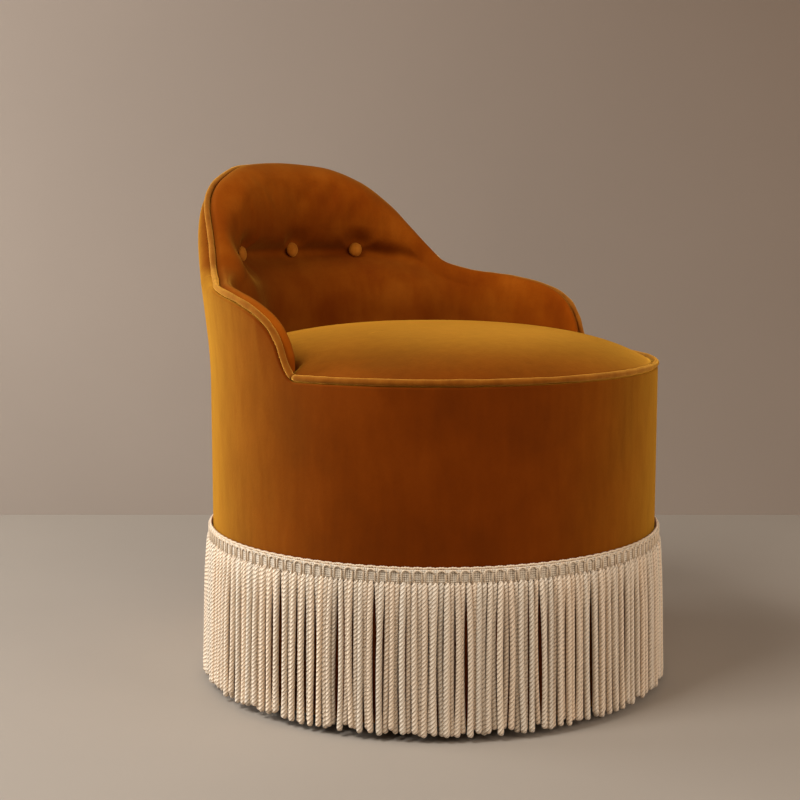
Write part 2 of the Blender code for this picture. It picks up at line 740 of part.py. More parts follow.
def build_seat(parent, velvet, foam):
    """The cover is a crowned cap with a short skirt, and the foam fills it down to the platform cloth."""
    bm = bmesh.new()
    middle, rings = seat_dome(0.0)
    rings.append([point - Vector((0, 0, SKIRT)) for point in rings[-1]])
    outer = fan_and_rings(bm, middle, rings)
    middle, rings = seat_dome(COVER)
    foot = rings[-1]
    rings.append([Vector((p.x, p.y, q.co.z)) for p, q in zip(foot, outer)])
    inner = fan_and_rings(bm, middle, rings)
    join_rims(bm, outer, inner)
    add_mesh("seat_cover", bm, velvet, parent)
    bm = bmesh.new()
    middle, rings = seat_dome(COVER + CLEAR)
    rings.append([Vector((point.x, point.y, PAD_BOTTOM)) for point in rings[-1]])
    rim = fan_and_rings(bm, middle, rings)
    bm.faces.new(rim)
    add_mesh("seat_foam", bm, foam, parent)


def ring_board(name, bottom, top, finish, parent):
    sections = []
    for i in range(RING_SEGMENTS):
        angle = 360 * i / RING_SEGMENTS
        corners = [(BOARD_RADIUS, bottom), (BOARD_RADIUS, top), (BOARD_HOLE, top), (BOARD_HOLE, bottom)]
        sections.append([at(angle, *corner) for corner in corners])
    loft(name, sections, finish, parent, ring=True)


def build_post(number, beech, parent):
    bm = bmesh.new()
    height = SEAT_BOARD_BOTTOM - BASE_TOP - 2 * CLEAR
    bmesh.ops.create_cube(bm, size=1.0, matrix=Matrix.Diagonal((POST_WIDTH, POST_DEPTH, height, 1.0)))
    upright = [e for e in bm.edges if abs(e.verts[0].co.z - e.verts[1].co.z) > height / 2]
    bmesh.ops.bevel(bm, geom=upright, offset=POST_BEVEL, segments=1, affect="EDGES")
    post = add_mesh(f"frame_post_{number}", bm, beech, parent)
    angle = 360 * (number - 0.5) / POSTS
    reach = math.sqrt(BOARD_RADIUS**2 - (POST_WIDTH / 2) ** 2)
    middle = at(angle, reach - POST_DEPTH / 2, (BASE_TOP + SEAT_BOARD_BOTTOM) / 2)
    post.matrix_local = Matrix.Translation(middle) @ Matrix.Rotation(-math.radians(angle), 4, "Z")


def build_base(parent):
    plywood = material("birch_plywood", PLYWOOD, SATIN)
    ring_board("base_board", BASE_BOTTOM, BASE_TOP, plywood, parent)
    ring_board("seat_board", SEAT_BOARD_BOTTOM, SEAT_BOARD_TOP, plywood, parent)
    beech = material("beech", BEECH, SATIN)
    for number in range(1, POSTS + 1):
        build_post(number, beech, parent)
    cloth = material("black_base_cloth", BLACK_CLOTH, DULL)
    disc = [(0, DUST_BOTTOM), (BOARD_RADIUS, DUST_BOTTOM), (BOARD_RADIUS, DUST_BOTTOM + CLOTH)]
    turned("dust_cover", disc + [(0, DUST_BOTTOM + CLOTH)], RING_SEGMENTS, cloth, parent)
    nylon = material("nylon_glide", NYLON, SATIN)
    flat = GLIDE_RADIUS - GLIDE_BEVEL
    profile = [(0, GLIDE_HEIGHT), (GLIDE_TOP_RADIUS, GLIDE_HEIGHT), (GLIDE_RADIUS, GLIDE_HEIGHT / 2)]
    profile += [(GLIDE_RADIUS, GLIDE_BEVEL), (flat, 0), (0, 0)]
    for number in range(1, GLIDES + 1):
        angle = 360 * (number - 0.5) / GLIDES
        place = Matrix.Translation(at(angle, BOARD_RADIUS - BOARD_RING / 2, 0))
        turned(f"glide_{number}", profile, GLIDE_SEGMENTS, nylon, parent, place)


def strip_offset(number):
    return (number - (WEB_STRIPS - 1) / 2) * WEB_PITCH


def strip_points(number, way):
    """Along one strip of webbing: distances from its middle, and how far it rises or dips there."""
    edge = abs(strip_offset(number)) + WEB_WIDTH / 2
    end = math.sqrt(WEB_END_RADIUS**2 - edge**2)
    on_board = math.sqrt(BOARD_HOLE**2 - edge**2) - WEB_MARGIN
    points = [(-end, 0.0), (-on_board, 0.0)]
    for crossing in range(WEB_STRIPS):
        side = 1 if (crossing + number) % 2 == way else -1
        for edge_sign in (-1, 1):
            away = strip_offset(crossing) + edge_sign * (WEB_WIDTH / 2 + WEB_MARGIN)
            points.append((away, side * WEB_WEAVE))
    return points + [(on_board, 0.0), (end, 0.0)]


def build_webbing(parent):
    """Strips both ways, each over its neighbours and under them in turn, resting on the seat board."""
    jute = material("jute_webbing", JUTE, DULL)
    for way, kind in enumerate(("cross", "long")):
        for number in range(WEB_STRIPS):
            sections = []
            for away, rise in strip_points(number, way):
                section = []
                for side, up in ((-1, -1), (1, -1), (1, 1), (-1, 1)):
                    across = strip_offset(number) + side * WEB_WIDTH / 2
                    level = WEB_LEVEL + rise + up * WEB / 2
                    spot = (away, across, level) if way == 0 else (across, away, level)
                    section.append(Vector(spot))
                sections.append(section)
            loft(f"webbing_{kind}_{number + 1}", sections, jute, parent)
    top = CLOTH_BOTTOM + CLOTH
    disc = [(0, CLOTH_BOTTOM), (WEB_END_RADIUS, CLOTH_BOTTOM), (WEB_END_RADIUS, top), (0, top)]
    hessian = material("hessian", JUTE, DULL)
    turned("platform_cloth", disc, RING_SEGMENTS, hessian, parent)


def button_place(angle):
    """The panel's outer face behind a button, with local +Z square to it, and the button's depth."""
    lean = math.atan(flare_slope(angle))
    reach = OUTSIDE_COVER + SHELL_CLEAR
    seat = (padding(angle, BUTTON_HEIGHT) - reach) * math.cos(lean) + SHELL_CLEAR
    height = BUTTON_HEIGHT - seat * math.sin(lean)
    way = at(angle, -math.cos(lean), math.sin(lean))
    turn = Vector((0, 0, 1)).rotation_difference(way).to_matrix().to_4x4()
    start = at(angle, wall_radius(angle, height) - reach, height)
    return Matrix.Translation(start) @ turn, seat


def build_buttons(parent, velvet, cut_pieces):
    """Each button is pulled in by a twine through cover, foam and panel to a washer in a recess behind."""
    twine = material("waxed_twine", COTTON, SATIN)
    steel = material("zinc_washer", STEEL, ZINC_ROUGHNESS, 1.0)
    washer_at = RECESS - CLEAR - WASHER
    knot_at = washer_at - CLEAR - KNOT
    for number, angle in enumerate(button_angles(), 1):
        place, seat = button_place(angle)
        rim = seat + BUTTON_LIFT
        profile = [(0, rim + BUTTON_EDGE + BUTTON_DOME)]
        for wide, high in BUTTON_SHARES:
            profile.append((BUTTON_RADIUS * wide, rim + BUTTON_EDGE + BUTTON_DOME * high))
        profile += [(BUTTON_RADIUS * BUTTON_RIM_SHARE, rim), (BUTTON_RADIUS * BUTTON_STEM_SHARE, seat)]
        turned(f"button_{number}", profile + [(0, seat)], BUTTON_SEGMENTS, velvet, parent, place)
        profile = [(0, seat - CLEAR), (TWINE_RADIUS, seat - CLEAR), (TWINE_RADIUS, knot_at + KNOT)]
        profile += [(KNOT_RADIUS, knot_at + KNOT), (KNOT_RADIUS, knot_at), (0, knot_at)]
        turned(f"button_twine_{number}", profile, TWINE_SEGMENTS, twine, parent, place)
        profile = [(WASHER_RADIUS, washer_at + WASHER), (WASHER_RADIUS, washer_at)]
        profile += [(TWINE_HOLE, washer_at), (TWINE_HOLE, washer_at + WASHER)]
        turned(f"twine_washer_{number}", profile + profile[:1], WASHER_SEGMENTS, steel, parent, place)
        wide = WASHER_RADIUS + CLEAR
        end = seat + BUTTON_DOME
        profile = [(0, end), (TWINE_HOLE, end), (TWINE_HOLE, RECESS), (wide, RECESS)]
        profile += [(wide, -RECESS), (0, -RECESS)]
        cutter = turned(f"twine_hole_{number}", profile, HOLE_SEGMENTS, steel, parent, place)
        cutter.hide_render = True
        cutter.display_type = "WIRE"
        for piece in cut_pieces:
            hole = piece.modifiers.new(f"twine_hole_{number}", "BOOLEAN")
            hole.object = cutter
            hole.operation = "DIFFERENCE"
            hole.solver = "EXACT"


def build_header(cotton, parent):
    """The woven braid that covers the band of the fringe."""
    inside = DRUM_RADIUS + 2 * SHELL_CLEAR + CLEAR
    foot = FRINGE_TOP - BAND_HEIGHT
    top = foot + HEADER_HEIGHT
    sections = []
    for i in range(TRIM_SEGMENTS):
        top_in, foot_in = inside + BAND, inside + BAND_FOOT + TRIM_SAG
        corners = [(foot_in, foot), (foot_in + HEADER, foot), (top_in + HEADER, top), (top_in, top)]
        sections.append([at(360 * i / TRIM_SEGMENTS, *corner) for corner in corners])
    loft("fringe_header", sections, cotton, parent, ring=True)


def build_fringe(cotton, parent):
    """A comb: strands drawn down from every other face of a band's lower edge, with scattered lengths."""
    chance = random.Random(SCATTER_SEED)
    inside = DRUM_RADIUS + 2 * SHELL_CLEAR
    foot = FRINGE_TOP - BAND_HEIGHT
    bm = bmesh.new()
    half = math.degrees(STRAND_WIDTH / (inside + BAND_FOOT)) / 2
    pitch = 360 / STRANDS
    outer, inner, top_outer, top_inner = [], [], [], []
    for strand in range(STRANDS):
        for side in (-half, half):
            angle = pitch * strand + side
            outer.append(bm.verts.new(at(angle, inside + BAND_FOOT, foot)))
            inner.append(bm.verts.new(at(angle, inside, foot)))
        if strand % STRANDS_PER_PANEL == 0:
            angle = pitch * strand - half
            top_outer.append(bm.verts.new(at(angle, inside + BAND, FRINGE_TOP)))
            top_inner.append(bm.verts.new(at(angle, inside, FRINGE_TOP)))
    panels = len(top_outer)
    span = 2 * STRANDS_PER_PANEL
    for panel in range(panels):
        after = (panel + 1) % panels
        lower = [(panel * span + i) % len(outer) for i in range(span + 1)]
        bm.faces.new([top_outer[panel], top_outer[after]] + [outer[i] for i in reversed(lower)])
        bm.faces.new([top_inner[after], top_inner[panel]] + [inner[i] for i in lower])
        bm.faces.new((top_outer[panel], top_inner[panel], top_inner[after], top_outer[after]))
    roots = []
    for i in range(len(outer)):
        j = (i + 1) % len(outer)
        face = bm.faces.new((outer[i], outer[j], inner[j], inner[i]))
        if i % 2 == 0:
            roots.append(face)
    drawn = bmesh.ops.extrude_discrete_faces(bm, faces=roots)["faces"]
    for strand, face in enumerate(drawn):
        lean = STRAND_LEAN * math.sin(math.tau * LEAN_WAVES * strand / STRANDS)
        lean += STRAND_LEAN * LEAN_SCATTER_SHARE * chance.uniform(-1, 1)
        reach = DRUM_RADIUS + STRAND_REACH + STRAND_LEAN * chance.uniform(-1, 1)
        end = FRINGE_BOTTOM + STRAND_SCATTER * chance.random() ** 2
        middle = pitch * strand + math.degrees(lean / reach)
        spread = math.degrees(STRAND_FOOT_WIDTH / reach) / 2
        for vert in face.verts:
            turn = math.degrees(math.atan2(vert.co.x, vert.co.y)) - pitch * strand
            side = 1 if (turn + 180) % 360 > 180 else -1
            out = 1 if vert.co.xy.length > inside + BAND_FOOT / 2 else 0
            vert.co = at(middle + side * spread, reach + STRAND_FOOT * out, end)
    add_mesh("bullion_fringe", bm, cotton, parent)


def build_stool():
    clear_scene()
    stool = bpy.data.objects.new("stool", None)
    back_reach = wall_radius(0, BACK_HEIGHT - EDGE_ROUND) - DRUM_RADIUS
    stool.location = (0, (STRAND_REACH + STRAND_FOOT - back_reach) / 2, 0)
    bpy.context.scene.collection.objects.link(stool)
    velvet = material("amber_velvet", VELVET, DULL)
    foam = material("upholstery_foam", FOAM, DULL)
    cotton = material("cream_cotton", COTTON, DULL)
    build_base(stool)
    shell = build_panels(stool, material("birch_plywood", PLYWOOD, SATIN))
    build_webbing(stool)
    build_seat(stool, velvet, foam)
    cover, body = build_back_padding(stool, velvet, foam)
    build_outside_cover(stool, velvet)
    build_pipings(stool, velvet)
    build_buttons(stool, velvet, (shell, body, cover))
    build_header(cotton, stool)
    build_fringe(cotton, stool)


build_stool()
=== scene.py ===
"""The looks of a round velvet vanity stool with a low wrap-around back and a bullion fringe.

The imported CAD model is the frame. Its rigid pieces keep their shapes and get finishes, and its soft
pieces are replaced by fuller ones. Metres, +Z up, the back towards +Y. Most pieces are placed from
the drum's axis. An angle round the drum is from the middle of the back, positive towards +X, and a
point of the unrolled cover is (distance round the drum, height).
"""

from __future__ import annotations

import logging
import math
import random
from dataclasses import dataclass
from enum import Enum
from typing import Callable, Sequence

import bmesh
import bpy
import numpy as np
from bpy.types import Material, Node, NodeSocket, NodeTree, Object
from mathutils import Matrix, Vector
from mathutils.kdtree import KDTree


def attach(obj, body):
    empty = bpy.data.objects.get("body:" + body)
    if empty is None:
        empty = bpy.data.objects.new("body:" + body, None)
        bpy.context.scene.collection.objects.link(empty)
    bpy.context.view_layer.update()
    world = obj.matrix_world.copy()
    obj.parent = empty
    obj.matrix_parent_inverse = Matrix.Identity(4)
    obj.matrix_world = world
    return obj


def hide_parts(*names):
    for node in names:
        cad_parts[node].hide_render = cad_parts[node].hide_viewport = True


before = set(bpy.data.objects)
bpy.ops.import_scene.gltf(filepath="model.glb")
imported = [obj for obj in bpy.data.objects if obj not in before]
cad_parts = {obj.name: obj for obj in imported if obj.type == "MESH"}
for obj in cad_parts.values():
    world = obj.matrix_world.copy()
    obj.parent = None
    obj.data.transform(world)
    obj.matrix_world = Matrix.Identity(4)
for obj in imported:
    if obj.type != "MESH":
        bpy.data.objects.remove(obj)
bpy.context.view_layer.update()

BODY = "root"
LOG = logging.getLogger("vanity stool")
Array = np.ndarray
Pair = tuple[float, float]
Triple = tuple[float, float, float]

SWELL_VOXEL = 0.006  # how fine the copy is that swells
SWELL_CAP = 0.005  # how far a point may move
SWELL_PRESSURE = 4.0
SWELL_FRAMES = 20
SWELL_NEAR = 10  # how many points of the copy a point of the fine mesh follows
MERGE = 1e-6  # points closer than this are one
UPRIGHT = 0.05  # a tube's line that leans by less than this share is upright


# Helpers for materials


def linear(colour: str) -> tuple[float, float, float, float]:
    """An sRGB hex colour as the linear one that a shader takes, with an alpha of one."""
    values = [int(colour[i : i + 2], 16) / 255 for i in (1, 3, 5)]
    red, green, blue = (v / 12.92 if v <= 0.04045 else ((v + 0.055) / 1.055) ** 2.4 for v in values)
    return red, green, blue, 1.0


def set_inputs(node: Node, **inputs) -> None:
    """Sets or links a node's inputs.

    Args:
        node: the node.
        inputs: values or output sockets, by the input's name in lower case, or by its number after
            an "i".
    """
    named = {socket.name.lower().replace(" ", "_"): socket for socket in reversed(node.inputs)}
    for name, value in inputs.items():
        socket = node.inputs[int(name[1:])] if name[1:].isdigit() else named[name]
        if isinstance(value, NodeSocket):
            node.id_data.links.new(value, socket)
        else:
            socket.default_value = value


def add_node(tree: NodeTree, kind: str, settings: dict | None = None, **inputs) -> Node:
    """Adds a node, by its type's name without ShaderNode, and sets its properties and inputs."""
    node = tree.nodes.new("ShaderNode" + kind)
    for name, value in (settings or {}).items():
        setattr(node, name, value)
    set_inputs(node, **inputs)
    return node


def calc(tree: NodeTree, operation: str, *values: float | NodeSocket) -> NodeSocket:
    """The result of a Math node."""
    numbered = {f"i{number}": value for number, value in enumerate(values)}
    return add_node(tree, "Math", {"operation": operation}, **numbered).outputs[0]


def vector_calc(tree: NodeTree, operation: str, output: str, **inputs) -> NodeSocket:
    """The named output of a Vector Math node."""
    return add_node(tree, "VectorMath", {"operation": operation}, **inputs).outputs[output]


def noise(tree: NodeTree, place: NodeSocket, size: float, detail: float = 3.0) -> NodeSocket:
    """Noise whose spots are about as large as the size in metres."""
    return add_node(tree, "TexNoise", vector=place, scale=1 / size, detail=detail).outputs["Fac"]


def remap(tree: NodeTree, value: NodeSocket, to: tuple, start: tuple = (0.0, 1.0)) -> NodeSocket:
    """A value carried over from one range to another."""
    ends = {"i1": start[0], "i2": start[1], "i3": to[0], "i4": to[1]}
    return add_node(tree, "MapRange", value=value, **ends).outputs["Result"]


def blend(tree: NodeTree, share: NodeSocket | float, first, last, kind: str = "MIX") -> NodeSocket:
    """Two colours mixed by a share, in one of the Mix node's ways."""
    settings = {"data_type": "RGBA", "blend_type": kind}
    return add_node(tree, "Mix", settings, i0=share, i6=first, i7=last).outputs[2]


def relief(tree: NodeTree, height: NodeSocket, strength: float, depth: float, **more) -> NodeSocket:
    """The normal of a bump."""
    node = add_node(tree, "Bump", height=height, strength=strength, distance=depth, **more)
    return node.outputs["Normal"]


def ramp(tree: NodeTree, factor: NodeSocket, stops: Sequence[tuple[float, str]]) -> NodeSocket:
    """The colour of a ramp whose stops are positions from 0 to 1 with sRGB hex colours."""
    node = add_node(tree, "ValToRGB", fac=factor)
    elements = node.color_ramp.elements
    while len(elements) < len(stops):
        elements.new(0.5)
    for element, (position, colour) in zip(elements, stops):
        element.position = position
        element.color = linear(colour)
    return node.outputs["Color"]


class Finish:
    """What every finish shares: it makes its material once, and paints pieces with it."""

    name: str

    def build(self, tree: NodeTree, shader: Node) -> None:
        """Adds the finish's nodes."""
        raise NotImplementedError

    def material(self) -> Material:
        """The finish's material, made on first use."""
        found = bpy.data.materials.get(self.name)
        if found:
            return found
        made = bpy.data.materials.new(self.name)
        made.use_nodes = True
        self.build(made.node_tree, made.node_tree.nodes["Principled BSDF"])
        return made

    def paint(self, piece: Object) -> None:
        """Gives a piece this finish alone."""
        piece.data.materials.clear()
        piece.data.materials.append(self.material())


@dataclass(frozen=True)
class CottonVelvet(Finish):
    """Woven cotton velvet: a dense pile, dark where one looks into it, and pale seen aslant by a
    painted sheen on top of the shader's sheen.
    """

    name: str = "amber_cotton_velvet"
    deep: str = "#682a02"
    mid: str = "#722f02"
    pale: str = "#7b3504"
    painted_sheen: str = "#b17d21"  # painted sheen: the colour mixed in where the cloth turns away from the view
    gather: float = 1.9  # how late, as the cloth turns away, the painted sheen takes over
    sheen_tint: str = "#ffb840"
    sheen: float = 1.0
    sheen_roughness: float = 0.36
    nap_patch: float = 0.085  # how far apart the patches are where the pile leans another way
    nap_lean: float = 0.0011  # how strongly that leaning shows in its sheen
    pile: float = 0.0032  # the pile is finer than a pixel, and is drawn this coarse to show
    pile_depth: float = 0.00035
    pile_tones: Pair = (0.93, 1.07)
    streak: float = 0.011  # how wide the strokes are that a hand or brush leaves in it
    streak_squash: float = 0.22  # they run down the cloth
    streak_share: float = 0.3
    streak_tones: Pair = (0.74, 1.0)
    painted_light_gain: float = 1.0  # painted light: how much paler the colour is painted up and towards the front, on the top of the back and the arms
    painted_light_from: Pair = (0.30, 0.40)  # from and to this height less depth

    def build(self, tree: NodeTree, shader: Node) -> None:
        """Adds nap patches, strokes stretched down the cloth, a fine pile, the painted sheen, the
        painted light and the sheen.
        """
        place = add_node(tree, "TexCoord").outputs["Object"]
        squash = (1.0, 1.0, self.streak_squash)
        down = add_node(tree, "Mapping", vector=place, scale=squash).outputs["Vector"]
        strokes = noise(tree, down, self.streak)
        clouds = noise(tree, place, self.nap_patch)
        patches = calc(tree, "MULTIPLY_ADD", strokes, self.streak_share, clouds)
        into = ramp(tree, patches, ((0.45, self.deep), (0.65, self.mid), (0.85, self.pale)))
        # Painted sheen: the colour turns pale where the cloth turns away from the view.
        turned = add_node(tree, "LayerWeight", blend=0.5).outputs["Facing"]
        painted_sheen_share = calc(tree, "POWER", turned, self.gather)
        share = calc(tree, "MULTIPLY", painted_sheen_share, remap(tree, strokes, self.streak_tones, (0.35, 0.65)))
        colour = blend(tree, share, into, linear(self.painted_sheen))
        # Painted light: paler up and towards the front, where more lamp light falls.
        rim = vector_calc(tree, "DOT_PRODUCT", "Value", i0=place, i1=(0, -1, 1))
        painted_light = remap(tree, rim, (1.0, self.painted_light_gain), self.painted_light_from)
        pile = noise(tree, place, self.pile, 2.0)
        level = calc(tree, "MULTIPLY", remap(tree, pile, self.pile_tones), painted_light)
        lean = relief(tree, patches, 0.5, self.nap_lean)
        set_inputs(
            shader,
            base_color=vector_calc(tree, "SCALE", "Vector", i0=colour, scale=level),
            normal=relief(tree, pile, 0.35, self.pile_depth, normal=lean),
            roughness=0.92,
            specular_ior_level=0.04,
            sheen_weight=self.sheen,
            sheen_roughness=self.sheen_roughness,
            sheen_tint=linear(self.sheen_tint),
        )


@dataclass(frozen=True)
class TwistedCotton(Finish):
    """Twisted cotton cord: rounded plies with painted shade in their grooves, and a tone from the
    mesh, which may carry painted shade.
    """

    name: str = "cream_cotton_cord"
    pale: str = "#f7e1c5"
    mid: str = "#f1d9ba"
    # painted shade in the grooves between the plies
    dark: str = "#b08f69"
    plies: int = 4
    tone_attribute: str = "tone"
    fibre: float = 9.0  # fine fibre lines to a ply
    fibre_depth: float = 0.05
    groove_depth: float = 0.0013

    def build(self, tree: NodeTree, shader: Node) -> None:
        """Adds the plies on the strand's own UV map, in turns round it and turns along it."""
        place = add_node(tree, "TexCoord").outputs["UV"]
        plane = add_node(tree, "SeparateXYZ", vector=place).outputs
        around = calc(tree, "MULTIPLY", plane["X"], self.plies * math.pi)
        turn = calc(tree, "ADD", calc(tree, "MULTIPLY", plane["Y"], math.pi), around)
        ply = calc(tree, "POWER", calc(tree, "ABSOLUTE", calc(tree, "SINE", turn)), 0.6)
        fine = calc(tree, "SINE", calc(tree, "MULTIPLY", turn, self.fibre))
        height = calc(tree, "MULTIPLY_ADD", fine, self.fibre_depth, ply)
        tone = add_node(tree, "Attribute", {"attribute_name": self.tone_attribute}).outputs["Color"]
        # The grooves get the dark colour: painted shade.
        colour = ramp(tree, ply, ((0.12, self.dark), (0.45, self.mid), (0.8, self.pale)))
        set_inputs(
            shader,
            base_color=blend(tree, 1.0, colour, tone, "MULTIPLY"),
            normal=relief(tree, height, 1.0, self.groove_depth),
            roughness=0.8,
            sheen_weight=0.25,
            sheen_roughness=0.5,
        )


@dataclass(frozen=True)
class WovenCloth(Finish):
    """A plain weave on the piece's own UV map in metres: threads over and under each other, with
    painted shade between them.
    """

    name: str
    pale: str
    # painted shade between the threads
    dark: str
    thread: float
    depth: float

    def build(self, tree: NodeTree, shader: Node) -> None:
        """Adds the crossing threads with painted shade between them, and an unevenness from yarn to
        yarn.
        """
        cloth = add_node(tree, "TexCoord").outputs["UV"]
        plane = add_node(tree, "SeparateXYZ", vector=cloth).outputs
        turns = [calc(tree, "MULTIPLY", plane[axis], math.pi / self.thread) for axis in ("X", "Y")]
        threads = [calc(tree, "ABSOLUTE", calc(tree, "SINE", turn)) for turn in turns]
        cross = calc(tree, "POWER", calc(tree, "MULTIPLY", *threads), 0.6)
        # The dips between the threads get the dark colour: painted shade.
        level = calc(tree, "MULTIPLY_ADD", cross, 0.8, noise(tree, cloth, self.thread / 0.3))
        set_inputs(
            shader,
            base_color=ramp(tree, level, ((0.55, self.dark), (1.05, self.pale))),
            normal=relief(tree, cross, 0.7, self.depth),
            roughness=0.85,
            sheen_weight=0.2,
        )


@dataclass(frozen=True)
class Wood(Finish):
    """Bare wood: grain drawn out along one axis of the piece, darker in its late growth."""

    name: str
    pale: str
    dark: str
    stretch: Triple
    grain: float
    roughness: float

    def build(self, tree: NodeTree, shader: Node) -> None:
        """Adds the stretched grain and its shallow relief."""
        place = add_node(tree, "TexCoord").outputs["Object"]
        drawn = add_node(tree, "Mapping", vector=place, scale=self.stretch).outputs["Vector"]
        grown = {"scale": 1 / self.grain, "detail": 6.0, "roughness": 0.6, "distortion": 0.4}
        grain = add_node(tree, "TexNoise", vector=drawn, **grown).outputs["Fac"]
        set_inputs(
            shader,
            base_color=ramp(tree, grain, ((0.35, self.dark), (0.65, self.pale))),
            normal=relief(tree, grain, 0.2, 0.0002),
            roughness=self.roughness,
        )


@dataclass(frozen=True)
class Moulded(Finish):
    """A moulded or plated piece: an even colour with a slight unevenness of its surface."""

    name: str
    pale: str
    dark: str
    metallic: float
    roughness: float
    spot: float = 0.004

    def build(self, tree: NodeTree, shader: Node) -> None:
        """Adds faint spots in the colour and the relief."""
        spots = noise(tree, add_node(tree, "TexCoord").outputs["Object"], self.spot)
        set_inputs(
            shader,
            base_color=ramp(tree, spots, ((0.3, self.dark), (0.7, self.pale))),
            normal=relief(tree, spots, 0.1, 0.0001),
            roughness=self.roughness,
            metallic=self.metallic,
        )


@dataclass(frozen=True)
class MattSurface(Finish):
    """A plain matt floor or wall with painted shade that slowly darkens it one way, seen only from its
    front.
    """

    name: str
    first: str
    last: str
    way: Triple  # the direction in which the first colour goes over to the last: a painted fall-off of the light
    ends: Pair  # where along it each is reached
    cloud: float = 1 / 2.2
    cloud_tones: Pair = (0.95, 1.05)

    def build(self, tree: NodeTree, shader: Node) -> None:
        """Adds the painted shade, faint clouds, and a back that lets light and sight through."""
        place = add_node(tree, "TexCoord").outputs["Object"]
        along = vector_calc(tree, "DOT_PRODUCT", "Value", i0=place, i1=self.way)
        # Painted shade: the colour darkens from the first to the last along the way.
        share = remap(tree, along, (0.0, 1.0), self.ends)
        colour = blend(tree, share, linear(self.first), linear(self.last))
        shade = remap(tree, noise(tree, place, self.cloud, 4.0), self.cloud_tones)
        mixed = vector_calc(tree, "SCALE", "Vector", i0=colour, scale=shade)
        set_inputs(shader, base_color=mixed, roughness=0.75)
        behind = add_node(tree, "NewGeometry").outputs["Backfacing"]
        clear = add_node(tree, "BsdfTransparent").outputs["BSDF"]
        chosen = add_node(tree, "MixShader", i0=behind, i1=shader.outputs["BSDF"], i2=clear)
        set_inputs(tree.nodes["Material Output"], surface=chosen.outputs["Shader"])


class Slot(Enum):
    """Material slot names, one of which each sheet carries."""

    VELVET = "amber_velvet"
    COTTON = "cream_cotton"
    JUTE = "jute_webbing"
    HESSIAN = "hessian"
    BLACK = "black_base_cloth"
    TWINE = "waxed_twine"


# Helpers for shapes


def link(name: str, data: bpy.types.ID) -> Object:
    """A new object in the scene."""
    made = bpy.data.objects.new(name, data)
    bpy.context.scene.collection.objects.link(made)
    return made


def primitive(name: str, add: Callable, **settings) -> Object:
    """A new object that a function of bpy.ops makes with these settings."""
    bpy.ops.object.select_all(action="DESELECT")
    add(**settings)
    made = bpy.context.active_object
    made.name = name
    return made


def mesh_object(name: str, points: Array, faces: list[list[int]]) -> Object:
    """A smooth object at the origin from points and faces."""
    mesh = bpy.data.meshes.new(name)
    mesh.from_pydata([tuple(map(float, point)) for point in points.reshape(-1, 3)], [], faces)
    mesh.update()
    mesh.shade_smooth()
    return link(name, mesh)


def grid_faces(count: int, size: int, ring: bool, lids: bool = False) -> list[list[int]]:
    """The faces of a closed body through sections that have as many points each.

    Args:
        count: how many sections there are.
        size: how many points each has.
        ring: whether the last section joins the first one. Both are capped otherwise.
        lids: whether the sections are open lines round two lids, one at their first points and one
            at their last. Otherwise each section joins up with itself.

    Returns:
        Lists of point numbers.
    """
    numbers = np.arange(count * size).reshape(count, size)
    first, second = (numbers, np.roll(numbers, -1, 0)) if ring else (numbers[:-1], numbers[1:])
    quads = np.stack([first, np.roll(first, -1, 1), np.roll(second, -1, 1), second], axis=-1)
    caps = [] if ring else [numbers[0, ::-1], numbers[-1]]
    if lids:
        quads, caps = quads[:, :-1], [numbers[:, 0], numbers[::-1, -1]]
    return quads.reshape(-1, 4).tolist() + [cap.tolist() for cap in caps]


def loft(name: str, sections: Array, ring: bool, lids: bool = False) -> Object:
    """A closed body through sections of points, joined as grid_faces says."""
    made = mesh_object(name, sections, grid_faces(*sections.shape[:2], ring, lids))
    bm = bmesh.new()
    bm.from_mesh(made.data)
    bmesh.ops.remove_doubles(bm, verts=bm.verts, dist=MERGE)
    bmesh.ops.recalc_face_normals(bm, faces=bm.faces)
    bm.to_mesh(made.data)
    bm.free()
    return made


def tube(name: str, path: Array, radii: Array, sides: int, ring: bool = False) -> Object:
    """A round tube along a path.

    Args:
        name: the object's name.
        path: points along its middle.
        radii: its radius at each point.
        sides: how many sides it has.
        ring: whether it joins up with itself.

    Returns:
        The object.
    """
    along = np.roll(path, -1, 0) - np.roll(path, 1, 0)
    if not ring:
        along[0], along[-1] = path[1] - path[0], path[-1] - path[-2]
    along /= np.linalg.norm(along, axis=1)[:, None]
    side = np.cross(along, (0.0, 0.0, 1.0))
    upright = np.linalg.norm(side, axis=1) < UPRIGHT
    side[upright] = np.cross(along[upright], (1.0, 0.0, 0.0))
    side /= np.linalg.norm(side, axis=1)[:, None]
    up = np.cross(side, along)
    turns = np.linspace(0, math.tau, sides, endpoint=False)[None, :, None]
    ways = np.cos(turns) * side[:, None, :] + np.sin(turns) * up[:, None, :]
    return loft(name, path[:, None, :] + radii[:, None, None] * ways, ring)


def finish_piece(
    piece: Object,
    finish: Finish,
    replaced: Sequence[str] = (),
) -> None:
    """Paints a new piece, mounts it on the stool, and hides the CAD nodes that it stands for.

    Args:
        piece: the object, at rest in its place.
        finish: its finish.
        replaced: the CAD nodes that it stands for.
    """
    finish.paint(piece)
    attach(piece, BODY)
    if replaced:
        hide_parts(*replaced)
    LOG.info("%s: %d faces", piece.name, len(piece.data.polygons))


